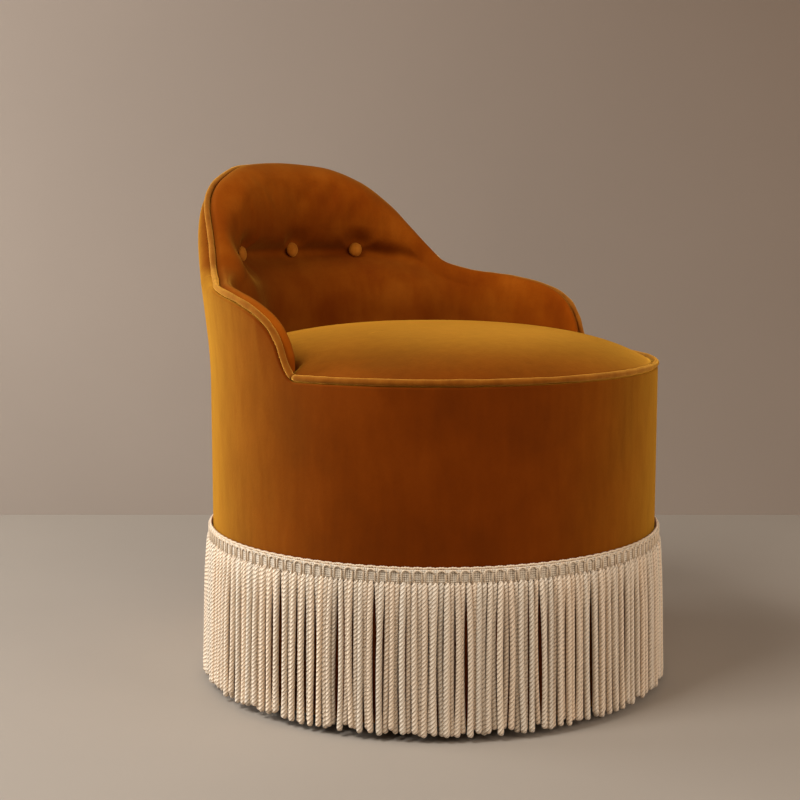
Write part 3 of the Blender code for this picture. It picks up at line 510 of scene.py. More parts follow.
def inflate(copy: Object, start: Array, held: Array) -> Array:
    """Runs a body as cloth under pressure.

    Args:
        copy: the body, which ends as it started.
        start: its points.
        held: how firmly each of them is held, from 0 to 1.

    Returns:
        How far each point moves, with no way longer than the cap.
    """
    group = copy.vertex_groups.new(name="held")
    for index, weight in enumerate(held):
        if weight > 0:
            group.add([index], float(weight), "REPLACE")
    cloth = copy.modifiers.new("cloth", "CLOTH").settings
    cloth.use_pressure = True
    cloth.uniform_pressure_force = SWELL_PRESSURE
    cloth.effector_weights.gravity = 0.0
    cloth.vertex_group_mass = group.name
    for number in range(1, SWELL_FRAMES + 1):
        bpy.context.scene.frame_set(number)
    swollen = copy.evaluated_get(bpy.context.evaluated_depsgraph_get())
    shift = np.array([vert.co for vert in swollen.data.vertices]) - start
    bpy.context.scene.frame_set(1)
    size = np.linalg.norm(shift, axis=1, keepdims=True)
    return shift * np.minimum(1, SWELL_CAP / np.maximum(size, 1e-9))


def swell(piece: Object, held: Callable[[Array], Array]) -> None:
    """Swells a padded piece on an even copy, and carries the result over to its finer mesh.

    Args:
        piece: the padded piece, which starts a little smaller than it ends.
        held: how firmly points are sewn or glued down, from 0 to 1.
    """
    copy = link(piece.name + "_even", piece.data.copy())
    bpy.ops.object.select_all(action="DESELECT")
    bpy.context.view_layer.objects.active = copy
    copy.select_set(True)
    remesh = copy.modifiers.new("remesh", "REMESH")
    remesh.mode = "VOXEL"
    remesh.voxel_size = SWELL_VOXEL
    bpy.ops.object.modifier_apply(modifier=remesh.name)
    start = np.array([vert.co for vert in copy.data.vertices])
    shift = inflate(copy, start, held(start))
    tree = KDTree(len(start))
    for index, point in enumerate(start):
        tree.insert(point, index)
    tree.balance()
    points = np.array([vert.co for vert in piece.data.vertices])
    free = 1 - held(points)
    for index, point in enumerate(points):
        near = tree.find_n(point, SWELL_NEAR)
        weights = np.array([1 / (away + SWELL_VOXEL / 4) for _, _, away in near])
        moved = weights @ shift[[number for _, number, _ in near]] / weights.sum()
        points[index] = point + free[index] * moved
    piece.data.vertices.foreach_set("co", points.ravel())
    piece.data.update()
    LOG.info("%s: swollen by up to %.1f mm", piece.name, 1000 * float(np.abs(shift).max()))
    bpy.data.objects.remove(copy, do_unlink=True)


def plane_map(piece: Object) -> None:
    """Gives a flat-lying piece a UV map of its own x and y in metres."""
    layer = piece.data.uv_layers.new(name="weave")
    for loop in piece.data.loops:
        spot = piece.data.vertices[loop.vertex_index].co
        layer.data[loop.index].uv = (spot.x, spot.y)


def tone_piece(piece: Object, tones: Array) -> None:
    """Gives each point of a cord its tone, as red, green, blue and one."""
    layer = piece.data.color_attributes.new("tone", "FLOAT_COLOR", "POINT")
    layer.data.foreach_set("color", np.asarray(tones, np.float32).ravel())


def twist_map(piece: Object, sides: int, path: Array, stripe: float) -> None:
    """Gives a tube a UV map of turns round it and plies along it, and an even tone.

    Args:
        piece: the tube.
        sides: how many sides it has.
        path: its middle line.
        stripe: how far it is from one ply to the next along the tube.
    """
    lengths = np.concatenate([[0.0], np.cumsum(np.linalg.norm(np.diff(path, axis=0), axis=1))])
    layer = piece.data.uv_layers.new(name="twist")
    for face in piece.data.polygons:
        spots = [divmod(number, sides) for number in face.vertices]
        wraps = len(spots) == 4 and max(j for _, j in spots) - min(j for _, j in spots) > 1
        for loop, (i, j) in zip(face.loop_indices, spots):
            around = j / sides + (1.0 if wraps and j == 0 else 0.0)
            layer.data[loop].uv = (around, lengths[i] / stripe)
    tone_piece(piece, np.ones((len(piece.data.vertices), 4)))


def smooth_curve(ts: Sequence[float], values: Sequence[float], level_ends: bool = True) -> Callable:
    """A function through points that never swings past them.

    Args:
        ts: where the points are, rising.
        values: the values there.
        level_ends: whether the function is level at both ends.

    Returns:
        The function, which takes numbers or arrays.
    """
    ts, values = np.asarray(ts, float), np.asarray(values, float)
    widths = np.diff(ts)
    slopes = np.diff(values) / widths
    bends = np.zeros(len(ts))
    if not level_ends:
        bends[0], bends[-1] = slopes[0], slopes[-1]
    for i in range(1, len(ts) - 1):
        before, after = slopes[i - 1], slopes[i]
        if before * after > 0:
            first, second = 2 * widths[i] + widths[i - 1], widths[i] + 2 * widths[i - 1]
            bends[i] = (first + second) / (first / before + second / after)

    def value(t):
        i = np.clip(np.searchsorted(ts, t) - 1, 0, len(widths) - 1)
        u = (t - ts[i]) / widths[i]
        rise = values[i] * (1 + 2 * u) * (1 - u) ** 2 + values[i + 1] * (3 - 2 * u) * u**2
        return rise + widths[i] * u * (1 - u) * (bends[i] * (1 - u) - bends[i + 1] * u)

    return value


def soft_bump(values: Array, middle: float, spread: float, power: float = 2) -> Array:
    """One at the middle, falling to nothing over the spread."""
    return np.exp(-(np.abs((values - middle) / spread) ** power))


def soft_end(values: Array, end: float, softness: float) -> Array:
    """One before the end, and nothing past it."""
    return 1 / (1 + np.exp((values - end) / softness))


def hold(values: Array, span: float) -> Array:
    """One where the values are nought or less, falling to nothing over the span."""
    return np.clip(1 - values / span, 0, 1)


def quarter_round(share: Array) -> Array:
    """The drop of a rounded edge, from none to one, as the share goes from none to one."""
    return 1 - np.sqrt(1 - share**2)


def line_normals(line: Array, blur: int) -> Array:
    """The way square out of the unrolled cover at each point of its edge, smoothed."""
    along = np.gradient(line, axis=0)
    weights = np.hanning(2 * blur + 1)
    weights /= weights.sum()
    padded = np.pad(along, ((blur, blur), (0, 0)), mode="edge")
    along = np.stack([np.convolve(padded[:, i], weights, mode="valid") for i in (0, 1)], axis=1)
    along /= np.linalg.norm(along, axis=1)[:, None]
    return np.stack([-along[:, 1], along[:, 0]], axis=1)


@dataclass(frozen=True)
class StoolForm:
    """The upholstered form: its walls and edges. Angles are in degrees and lengths in metres."""

    drum_radius: float = 0.270
    seat_edge: float = 0.383
    back_height: float = 0.6228
    arm_height: float = 0.4775
    arm_end: float = 99.0
    arm_front: float = 95.2
    back_line: tuple = (
        (0.0, 1.0), (0.125, 0.976), (0.2525, 0.845), (0.342, 0.634), (0.402, 0.427),
        (0.4626, 0.225), (0.505, 0.105), (0.572, 0.033), (0.626, 0.0),
    )  # shares of the arm's end and of the rise, from the middle of the back
    arm_line: tuple = (
        (0.68, 0.97), (0.742, 0.92), (0.818, 0.839), (0.883, 0.715), (0.917, 0.595),
        (0.937, 0.477), (0.9515, 0.3545), (0.9586, 0.256), (0.9677, 0.153), (0.978, 0.07),
        (0.99, 0.012), (1.0, 0.0),
    )
    line_step: float = 0.001
    flare: float = 0.104
    flare_below: float = 0.018
    flare_step: float = 0.040
    flare_ease: Pair = (0.25, 1.5)  # how many steps before that line it starts, and it eases in over
    shoulder_flare: float = 0.033
    shoulder_angle: float = 35.0
    shoulder_spread: float = 8.0
    edge_round: float = 0.014
    edge_turn: float = 45.0  # degrees that the edge turns before it meets the piping
    corner_turn: float = 38.0
    tuck: float = 0.003
    corner_tuck: float = 0.011
    corner_angle: float = 49.0
    corner_spread: float = 16.0
    arm_fade: float = 11.0
    piping_radius: float = 0.0037
    piping_proud: float = 0.0012
    strand_reach: float = 0.0137  # of the fringe's foot beyond the drum
    cover_foot: float = 0.0154

    def axis_y(self) -> float:
        """Where the drum's axis stands, so that the whole stool is centred."""
        reach = self.wall_radius(np.array(0.0), np.array(self.back_height - self.edge_round))
        return float(self.strand_reach - (reach - self.drum_radius)) / 2

    def arm_share(self, angle: Array) -> Array:
        """One on the back and arms, falling to nothing at the end of an arm."""
        return np.clip((self.arm_end - np.abs(angle)) / self.arm_fade, 0.0, 1.0)

    def corner(self, angle: Array) -> Array:
        """One at the corners between back and arms, where the piping bends."""
        return soft_bump(np.abs(angle), self.corner_angle, self.corner_spread, 4)

    def wall_radius(self, angle: Array, height: Array) -> Array:
        """The outside of the velvet, upright on the drum and easing outwards above the seat."""
        shoulder = soft_bump(np.abs(angle), self.shoulder_angle, self.shoulder_spread)
        lean = self.flare + self.shoulder_flare * shoulder
        above = height - self.seat_edge + self.flare_below
        lead, span = (steps * self.flare_step for steps in self.flare_ease)
        start = above + lead
        curved = np.clip(start, 0, None) ** 2 / (2 * span)
        eased = np.where(start < span, curved, start - span / 2)
        return self.drum_radius + lean * self.arm_share(angle) * eased

    def edge_tuck(self, angle: Array) -> Array:
        """How far the wall's edge is drawn in where it meets the piping."""
        return self.tuck * self.arm_share(angle) + self.corner_tuck * self.corner(angle)

    def seam_inset(self, angle: Array) -> Array:
        """How far below the piping's line the outside cover's edge is."""
        turn = np.radians(self.edge_turn + self.corner_turn * self.corner(angle))
        inside = self.edge_tuck(angle) * (1 - np.cos(turn))
        return np.maximum(self.edge_round * (1 - np.sin(turn)), self.piping_radius - inside)

    def outline(self) -> Array:
        """The piping's line on one side, from the middle of the back to the arm's end."""
        points = []
        for shares, foot, top in (
            (self.back_line, self.arm_height, self.back_height),
            (self.arm_line, self.seat_edge, self.arm_height),
        ):
            for angle_share, rise_share in shares:
                turn = math.radians(self.arm_end * angle_share)
                points.append((self.drum_radius * turn, foot + (top - foot) * rise_share))
        points = np.array(points)
        lengths = np.concatenate([[0.0], np.cumsum(np.hypot(*np.diff(points, axis=0).T))])
        steps = np.linspace(0.0, lengths[-1], round(lengths[-1] / self.line_step))
        around = smooth_curve(lengths, points[:, 0], level_ends=False)(steps)
        return np.stack([around, smooth_curve(lengths, points[:, 1])(steps)], axis=1)

    def full_line(self) -> Array:
        """The covers' whole edge, once round from the middle of the front, at even steps."""
        half = self.outline()
        start = half[-1, 0] + self.line_step
        front = np.arange(start, math.pi * self.drum_radius, self.line_step)
        level = np.full(len(front), self.seat_edge)
        half = np.concatenate([half, np.stack([front, level], axis=1)])
        return np.concatenate([half[:0:-1] * (-1, 1), half])

    def degrees(self, around: Array) -> Array:
        """The angle of a distance round the drum."""
        return np.degrees(around / self.drum_radius)

    def depth_at(self, points: Array) -> tuple[Array, Array, Array]:
        """The angle and height of points, and how far in they are from the outer wall."""
        x, y, height = points[:, 0], points[:, 1] - self.axis_y(), points[:, 2]
        angle = np.degrees(np.arctan2(x, y))
        return angle, height, self.wall_radius(angle, height) - np.hypot(x, y)

    def round_axis(self, turn: Array, radius: Array, height: Array) -> Array:
        """Points in the stool's frame from angles in radians, radii and heights."""
        x, y = radius * np.sin(turn), radius * np.cos(turn) + self.axis_y()
        return np.stack(np.broadcast_arrays(x, y, height), axis=-1)

    def place(self, around: Array, radius: Array, height: Array) -> Array:
        """Points in the stool's frame from distances round the drum, radii and heights."""
        return self.round_axis(around / self.drum_radius, radius, height)


@dataclass
class OutsideCover:
    """The velvet round the drum and up the outside of the back and arms."""

    form: StoolForm
    velvet: Finish
    columns: int = 640
    edge_rows: int = 12
    edge_share: float = 0.075  # of a column, which they take up
    edge_crowding: float = 1.5
    wall_rows: int = 44
    blur: int = 6
    reach_in: float = 0.040  # how far a column first runs square to the edge
    reach_up: float = 0.55  # how far it runs upright from its foot, as a share of its height
    thickness: float = 0.0022
    swell: float = 0.0022  # fuller behind the corners than the CAD
    swell_angle: Pair = (44, 14)
    swell_height: Pair = (0.545, 0.06)
    fold: float = 0.0025  # the last of the cover, where it turns in under the piping
    fold_depth: float = 0.0022

    def columns_of_points(self) -> tuple[Array, Array, Array]:
        """Columns of the unrolled cover from the piping down, with their distance from it.

        Returns:
            Distances round the drum, heights, and distances from the edge, by column and row.
        """
        form = self.form
        line = form.full_line()
        pick = np.linspace(0, len(line), self.columns, endpoint=False).astype(int)
        out = line_normals(line, self.blur)[pick]
        edge = line[pick] - out * form.seam_inset(form.degrees(line[pick, 0]))[:, None]
        feet = np.linspace(-math.pi, math.pi, self.columns, endpoint=False) * form.drum_radius
        foot = np.stack([feet, np.full(self.columns, form.cover_foot)], axis=1)
        rise = (edge[:, 1] - form.cover_foot)[:, None]
        a, b = edge - out * self.reach_in, foot + np.array([0.0, 1.0]) * rise * self.reach_up
        near = np.linspace(0, 1, self.edge_rows) ** self.edge_crowding * self.edge_share
        far = np.linspace(near[-1], 1, self.wall_rows + 1)[1:]
        shares = np.concatenate([near, far])[None, :, None]
        curve = (1 - shares) ** 3 * edge[:, None] + 3 * (1 - shares) ** 2 * shares * a[:, None]
        curve = curve + 3 * (1 - shares) * shares**2 * b[:, None] + shares**3 * foot[:, None]
        flat = curve.reshape(-1, 2)
        away = np.full(len(flat), 1.0)
        for part in np.array_split(line[::2], 12):
            gap = np.hypot(*(flat[:, None, axis] - part[None, :, axis] for axis in (0, 1)))
            away = np.minimum(away, gap.min(axis=1))
        return curve[:, :, 0], curve[:, :, 1], away.reshape(curve.shape[:2])

    def build(self) -> None:
        """Makes the cover, rounded in under the piping."""
        around, height, away = self.columns_of_points()
        angle = self.form.degrees(around)
        inward = hold(away, self.form.edge_round)
        tuck = self.form.edge_tuck(angle) * quarter_round(inward)
        swell = self.swell * soft_bump(np.abs(angle), *self.swell_angle)
        swell = swell * soft_bump(height, *self.swell_height) * (1 - inward)
        radius = self.form.wall_radius(angle, height) - tuck + swell
        radius = radius - self.fold_depth * quarter_round(hold(away - away[:, :1], self.fold))
        outer = self.form.place(around, radius, height)
        inner = self.form.place(around, radius - self.thickness, height)[:, ::-1]
        piece = loft("outside_cover_velvet", np.concatenate([outer, inner], axis=1), ring=True)
        finish_piece(piece, self.velvet, ["outside_cover"])


@dataclass
class Pipings:
    """Velvet-covered cord along the edge of the back and arms, and round the front of the seat."""

    form: StoolForm
    velvet: Finish
    step: int = 4
    sides: int = 14
    waver: float = 0.00022
    waver_span: int = 7
    overlap: float = 0.9  # degrees that the seat's piping runs in under the other one
    tuck: float = 0.94
    seed: int = 11

    def build(self) -> None:
        """Makes both pipings from one line, so that they run into each other."""
        form = self.form
        around, height = form.full_line()[:: self.step].T
        angle = form.degrees(around)
        inset = form.piping_radius - form.piping_proud
        radius = form.wall_radius(angle, height) - form.edge_tuck(angle) - inset
        path = form.place(around, radius, height)
        chance = np.random.default_rng(self.seed)
        scatter = chance.normal(size=len(path) + self.waver_span - 1)
        waver = np.convolve(scatter, np.hanning(self.waver_span) / 2, mode="valid") * self.waver
        radii = form.piping_radius + waver
        back = np.abs(angle) <= form.arm_end
        front = np.flatnonzero(np.abs(angle) >= form.arm_end - self.overlap)
        cut = int(np.argmax(np.diff(front))) + 1
        front = np.concatenate([front[cut:], front[:cut]])
        tucked = np.where(back, radii * self.tuck, radii)
        for node, chosen, sizes in (
            ("back_piping", np.flatnonzero(back), radii),
            ("seat_piping", front, tucked),
        ):
            piece = tube(f"{node}_velvet", path[chosen], sizes[chosen], self.sides)
            finish_piece(piece, self.velvet, [node])


@dataclass
class InsideBack:
    """The padded inside of the back and arms, rolled over its edge, creased and buttoned."""

    form: StoolForm
    velvet: Finish
    foot: float = 0.3411
    columns: int = 300
    roll_rows: int = 18
    face_rows: int = 100
    back_rows: int = 12
    back_tuck_power: float = 8
    blur: int = 8
    feet_from: float = 58.0  # from this angle on the columns' feet are spread evenly
    pad: float = 0.043
    pad_shares: tuple = ((0.0, 0.32, 0.52, 0.75, 1.0), (1.0, 1.0, 0.80, 0.70, 0.56))
    corner_pad: float = 0.0235
    corner_pad_angle: Pair = (41.0, 12.0)
    corner_pad_top: Pair = (0.506, 0.0085)
    roll_depth: float = 0.018
    roll_rise: float = 0.004
    roll_top: float = 0.0156
    roll_outer: float = 0.0142
    roll_start: float = 140.0
    seam_drop: float = 0.004
    lumbar: float = 0.009
    lumbar_share: float = 0.55
    lumbar_spread: float = 0.035
    crease: float = 0.0195
    crease_above: float = 0.014  # the upper pad turns in sharply, and the lower one rounder
    crease_below: float = 0.0180
    crease_angles: tuple = (0.0, 22.0, 32.0, 39.5, 46.0, 55.0, 75.0)
    crease_levels: tuple = (0.5085, 0.5080, 0.5030, 0.4975, 0.4905, 0.4830, 0.4660)
    crease_ends: Pair = (37.0, 55.0)  # on the left and on the right
    crease_fade: float = 3.0
    upper_swell: float = 0.003
    buttons: tuple = ((-25.4, 0.5090), (-0.4, 0.5125), (22.4, 0.5115))  # angle and height
    button_radius: float = 0.0095
    tuft: float = 0.0145
    tuft_spread: float = 0.015
    panel_depth: float = 0.0099  # from the outer wall to the inner face of the bent panel
    glued: Pair = (0.0166, 0.010)  # depth that is held, and over which that ends
    glued_foot: Pair = (0.028, 0.020)  # the same above the seat's edge
    sewn: float = 0.006
    tied: Pair = (0.0126, 0.014)

    def pad_line(self) -> Array:
        """The pad's edge on one side: the piping's line, then straight down beside the seat."""
        step = self.form.line_step
        line = self.form.outline()
        turn = math.radians(self.form.arm_front) * self.form.drum_radius
        line = line[line[:, 0] < turn]
        down = np.arange(line[-1, 1] - step, self.foot, -step)
        return np.concatenate([line, np.stack([np.full(len(down), turn), down], axis=1)])

    def crease_height(self, angle: Array) -> Array:
        """The crease runs level through the buttons, and falls to the corners of the back."""
        curve = smooth_curve(self.crease_angles, self.crease_levels)
        return curve(np.clip(np.abs(angle), 0, self.crease_angles[-1]))

    def crease_share(self, angle: Array) -> Array:
        """How deep the crease is at each angle, against its depth in the middle."""
        ends = np.where(angle > 0, self.crease_ends[1], self.crease_ends[0])
        return soft_end(np.abs(angle), ends, self.crease_fade)

    def button_gaps(self, angle: Array, height: Array) -> list[Array]:
        """How far spots of the velvet are from the middle of each button."""
        radius = self.form.drum_radius - self.pad
        return [
            np.hypot(np.radians(angle - turn) * radius, height - level)
            for turn, level in self.buttons
        ]

    def padding(self, angle: Array, height: Array) -> Array:
        """From the outer wall to the velvet inside."""
        seat = self.form.seat_edge
        depth = self.pad * np.interp(np.abs(angle) / self.form.arm_front, *self.pad_shares)
        corner = self.corner_pad * soft_bump(np.abs(angle), *self.corner_pad_angle)
        depth = depth + corner * soft_end(height, *self.corner_pad_top)
        fade, line = self.crease_share(angle), self.crease_height(angle)
        fullest = seat + (line - seat) * self.lumbar_share
        depth = depth + self.lumbar * fade * soft_bump(height, fullest, self.lumbar_spread)
        above = np.clip((height - line) / self.lumbar_spread, 0, 1)
        depth = depth + self.upper_swell * fade * above
        spread = np.where(height > line, self.crease_above, self.crease_below)
        dent = self.crease * fade * soft_bump(height, line, spread)
        for gap in self.button_gaps(angle, height):
            away = np.clip(gap - self.button_radius, 0, None)
            dent = np.maximum(dent, self.tuft * soft_bump(away, 0, self.tuft_spread))
        return depth - dent

    def velvet_columns(self, side: int, point: Array, normal: Array) -> tuple:
        """The velvet's columns on one half, over the roll and down to the foot.

        Args:
            side: 1 for the right half, -1 for the left.
            point: a spot of the pad's edge for each column.
            normal: the way up out of the pad there.

        Returns:
            The columns' points, and their feet and seams on the unrolled cover.
        """
        form = self.form
        inner = point - normal * self.roll_depth
        inner[:, 1] = np.maximum(inner[:, 1], self.foot)
        feet = inner[:, 0].copy()
        start = int(np.searchsorted(point[:, 0], math.radians(self.feet_from) * form.drum_radius))
        feet[start:] = np.linspace(feet[start], inner[-1, 0], len(feet) - start)
        foot = np.stack([feet, np.full(len(feet), self.foot)], axis=1)
        full = self.padding(side * form.degrees(inner[:, 0]), inner[:, 1])
        top = self.roll_top + form.edge_tuck(form.degrees(point[:, 0]))
        turns = np.radians(np.linspace(self.roll_start, 0, self.roll_rows))
        inset = self.roll_depth - (self.roll_depth + self.roll_rise) * np.sin(turns)
        roll = point[:, None] - normal[:, None] * inset[None, :, None]
        spread = np.where(turns[None] < math.pi / 2, (full - top)[:, None], self.roll_outer)
        roll_depth = top[:, None] + spread * np.cos(turns)[None]
        share = np.linspace(0, 1, self.face_rows + 1)[1:]
        face = inner[:, None] + (foot - inner)[:, None] * share[None, :, None]
        face_depth = self.padding(side * form.degrees(face[:, :, 0]), face[:, :, 1])
        face_depth[-1] = full[-1]
        spots = np.concatenate([roll, face], axis=1)
        spots[:, :, 1] = np.maximum(spots[:, :, 1], self.foot)
        wall = form.wall_radius(form.degrees(spots[:, :, 0]), spots[:, :, 1])
        depth = np.concatenate([roll_depth, face_depth], axis=1)
        columns = form.place(spots[:, :, 0], wall - depth, spots[:, :, 1])
        return columns, foot, point - normal * inset[0]

    def half_grid(self, side: int) -> Array:
        """One half's columns of points: down the velvet, and up the pad's back face."""
        form = self.form
        line = self.pad_line()
        normals = line_normals(line, self.blur)
        normals[-1] = (1.0, 0.0)
        pick = np.linspace(0, len(line) - 1, self.columns // 2).astype(int)
        front, foot, seam = self.velvet_columns(side, line[pick], normals[pick])
        seam[:, 1] = np.maximum(seam[:, 1] - self.seam_drop, self.foot)
        rise = np.linspace(0, 1, self.back_rows)[None, :, None]
        back = foot[:, None] + (seam - foot)[:, None] * rise
        wall = form.wall_radius(form.degrees(back[:, :, 0]), back[:, :, 1])
        share = rise[:, :, 0] ** self.back_tuck_power
        tuck = form.edge_tuck(form.degrees(line[pick, 0]))[:, None] * share
        behind = form.place(back[:, :, 0], wall - self.panel_depth - tuck, back[:, :, 1])
        return np.concatenate([front, behind], axis=1) * (side, 1, 1)

    def held(self, points: Array) -> Array:
        """How firmly it is held: glued behind, sewn at seam and crease, tied at the buttons."""
        angle, height, depth = self.form.depth_at(points)
        held = hold(depth - self.glued[0], self.glued[1])
        foot = height - self.form.seat_edge - self.glued_foot[0]
        held = np.maximum(held, hold(foot, self.glued_foot[1]))
        crease = soft_bump(height, self.crease_height(angle), self.sewn)
        held = np.maximum(held, self.crease_share(angle) * crease)
        for gap in self.button_gaps(angle, height):
            held = np.maximum(held, hold(gap - self.tied[0], self.tied[1]))
        return held

    def build(self) -> None:
        """Makes the pad as one closed body."""
        left, right = (self.half_grid(side) for side in (-1, 1))
        piece = loft("inside_back_velvet", np.concatenate([left[:0:-1], right]), ring=False)
        swell(piece, self.held)
        replaced = ["inside_back_cover", "back_foam"]
        finish_piece(piece, self.velvet, replaced)


@dataclass
class SeatCushion:
    """The crowned seat, under the piping at the front and against the padding behind."""

    form: StoolForm
    back: InsideBack
    velvet: Finish
    crown: float = 0.040
    power: float = 3.8
    rim_gap: float = 0.0006
    side_gap: float = 0.0012
    columns: int = 240
    rows: int = 34
    row_crowding: float = 0.8
    rim_samples: int = 7201
    hole: float = 0.02  # the share of its radius that the flat middle takes up
    round_in: float = 0.010
    round_drop: float = 0.005  # of the edge against the padding
    round_from: float = 0.006
    skirt: Pair = (0.004, 0.010)
    sewn: float = 0.016
    glued: float = 0.02

    def held(self, points: Array) -> Array:
        """How firmly the cushion is held: sewn at its rim, and glued below."""
        x, y = points[:, 0], points[:, 1] - self.form.axis_y()
        past = self.rim_radius(np.degrees(np.arctan2(x, y))) - np.hypot(x, y)
        return np.maximum(hold(past, self.sewn), hold(points[:, 2] - self.back.foot, self.glued))

    def front_radius(self) -> float:
        """How far the cushion reaches in front, inside the piping."""
        form = self.form
        return form.drum_radius - 2 * form.piping_radius + form.piping_proud - self.rim_gap

    def rim_radius(self, angle: Array) -> Array:
        """How far the cushion reaches at each angle."""
        form, back = self.form, self.back
        around = np.radians(np.abs(angle)) * form.drum_radius - self.side_gap
        past = around - math.radians(form.arm_front) * form.drum_radius
        up = np.clip((past + back.roll_depth) / (back.roll_depth + back.roll_rise), 0, 1)
        last = form.arm_front - math.degrees(back.roll_depth / form.drum_radius)
        inner = np.minimum(np.abs(angle), last)
        full = np.zeros_like(inner)
        for level in (back.foot, form.seat_edge, form.seat_edge + self.crown / 2):
            heights = np.full_like(inner, level)
            depth = back.padding(inner, heights) - form.wall_radius(inner, heights)
            full = np.maximum(full, depth + form.drum_radius)
        depth = back.roll_top + (full - back.roll_top) * np.sqrt(1 - up**2)
        side = form.drum_radius - depth - self.side_gap
        return np.where(past > back.roll_rise, self.front_radius(), side)

    def even_angles(self) -> Array:
        """Angles that are evenly spaced along the rim."""
        dense = np.linspace(-180, 180, self.rim_samples)
        rim = self.rim_radius(dense)
        steps = np.hypot(np.diff(rim), np.radians(np.diff(dense)) * rim[1:])
        lengths = np.concatenate([[0], np.cumsum(steps)])
        return np.interp(np.linspace(0, lengths[-1], self.columns, endpoint=False), lengths, dense)

    def build(self) -> None:
        """Makes the cushion as one closed body."""
        form, front, angle = self.form, self.front_radius(), self.even_angles()
        radius = self.rim_radius(angle)
        shares = np.linspace(self.hole, 1, self.rows) ** self.row_crowding
        radii = radius[:, None] * shares[None]
        heights = form.seat_edge + self.crown * (1 - (radii / front) ** self.power)
        rounded = quarter_round(hold(radius[:, None] - radii, self.round_in))
        behind = np.clip((front - radius) / self.round_from, 0, 1)[:, None]
        heights = heights - behind * self.round_drop * rounded
        low = heights[:, -1:] - np.array(self.skirt)
        foot = np.full((len(angle), 1), self.back.foot)
        heights = np.concatenate([heights, low, foot], axis=1)
        radii = np.concatenate([radii, np.repeat(radii[:, -1:], 3, axis=1)], axis=1)
        around = np.radians(angle) * form.drum_radius
        points = form.place(around[:, None], radii, heights)
        piece = loft("seat_cushion_velvet", points, ring=True, lids=True)
        swell(piece, self.held)
        finish_piece(piece, self.velvet, ["seat_cover", "seat_foam"])


@dataclass
class Buttons:
    """Velvet-covered buttons, domed and pulled into their tufts by a twine."""

    form: StoolForm
    back: InsideBack
    velvet: Finish
    cord: Finish
    segments: int = 28
    rings: int = 16
    dome: float = 0.0048
    behind_share: float = 0.28  # of the sphere that it starts from, behind its rim
    lift: float = 0.0030
    twine: float = 0.00065
    twine_stripe: float = 0.0011
    twine_sides: int = 8
    twine_rings: int = 24
    twine_start: float = 0.0015
    twine_end: float = 0.0001  # within this of its ends lie the points of the CAD twine's end faces
    knot: tuple = (
        (0.0, 0.0002, 0.0005, 0.0007, 0.0009), (0.0014, 0.0022, 0.0024, 0.0018, 0.0008),
    )  # lengths from the knot's end, and radii

    def build(self) -> None:
        """Makes the three buttons and their twines."""
        radius = self.back.button_radius
        lean = math.atan(self.form.flare)
        for number, (angle, height) in enumerate(self.back.buttons, 1):
            sphere = {"segments": self.segments, "ring_count": self.rings, "radius": radius}
            name = f"button_{number}_velvet"
            button = primitive(name, bpy.ops.mesh.primitive_uv_sphere_add, **sphere)
            for vert in button.data.vertices:
                vert.co.z *= self.dome / radius if vert.co.z > 0 else self.behind_share
            spot, turn = (np.array(angle), np.array(height)), math.radians(angle)
            depth = self.back.padding(*spot) - self.lift
            out = self.form.wall_radius(*spot) - depth - 2 * self.lift
            middle = Vector(self.form.place(turn * self.form.drum_radius, out, np.array(height)))
            level = math.cos(lean)
            way = Vector((-math.sin(turn) * level, -math.cos(turn) * level, math.sin(lean)))
            aim = Vector((0, 0, 1)).rotation_difference(way).to_matrix().to_4x4()
            button.data.transform(Matrix.Translation(middle) @ aim)
            button.data.shade_smooth()
            finish_piece(button, self.velvet, [f"button_{number}"])
            self.build_twine(number, np.array(way))

    def build_twine(self, number: int, way: Array) -> None:
        """Makes the waxed twine that holds a button, with the knot behind its washer.

        Args:
            number: which button it is.
            way: out of the button.
        """
        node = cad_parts[f"button_twine_{number}"]
        points = np.array([node.matrix_world @ vert.co for vert in node.data.vertices])
        along = points @ way
        knot, end = (
            points[np.abs(along - level) < self.twine_end].mean(axis=0)
            for level in (along.min(), along.max())
        )
        reach = np.linalg.norm(end - knot)
        run = np.linspace(self.twine_start, reach, self.twine_rings)
        lengths = np.concatenate([self.knot[0], run])
        radii = np.concatenate([self.knot[1], np.full(self.twine_rings, self.twine)])
        path = knot + lengths[:, None] * (end - knot) / reach
        piece = tube(f"button_twine_{number}_waxed", path, radii, self.twine_sides)
        twist_map(piece, self.twine_sides, path, self.twine_stripe)
        finish_piece(piece, self.cord, [f"button_twine_{number}"])


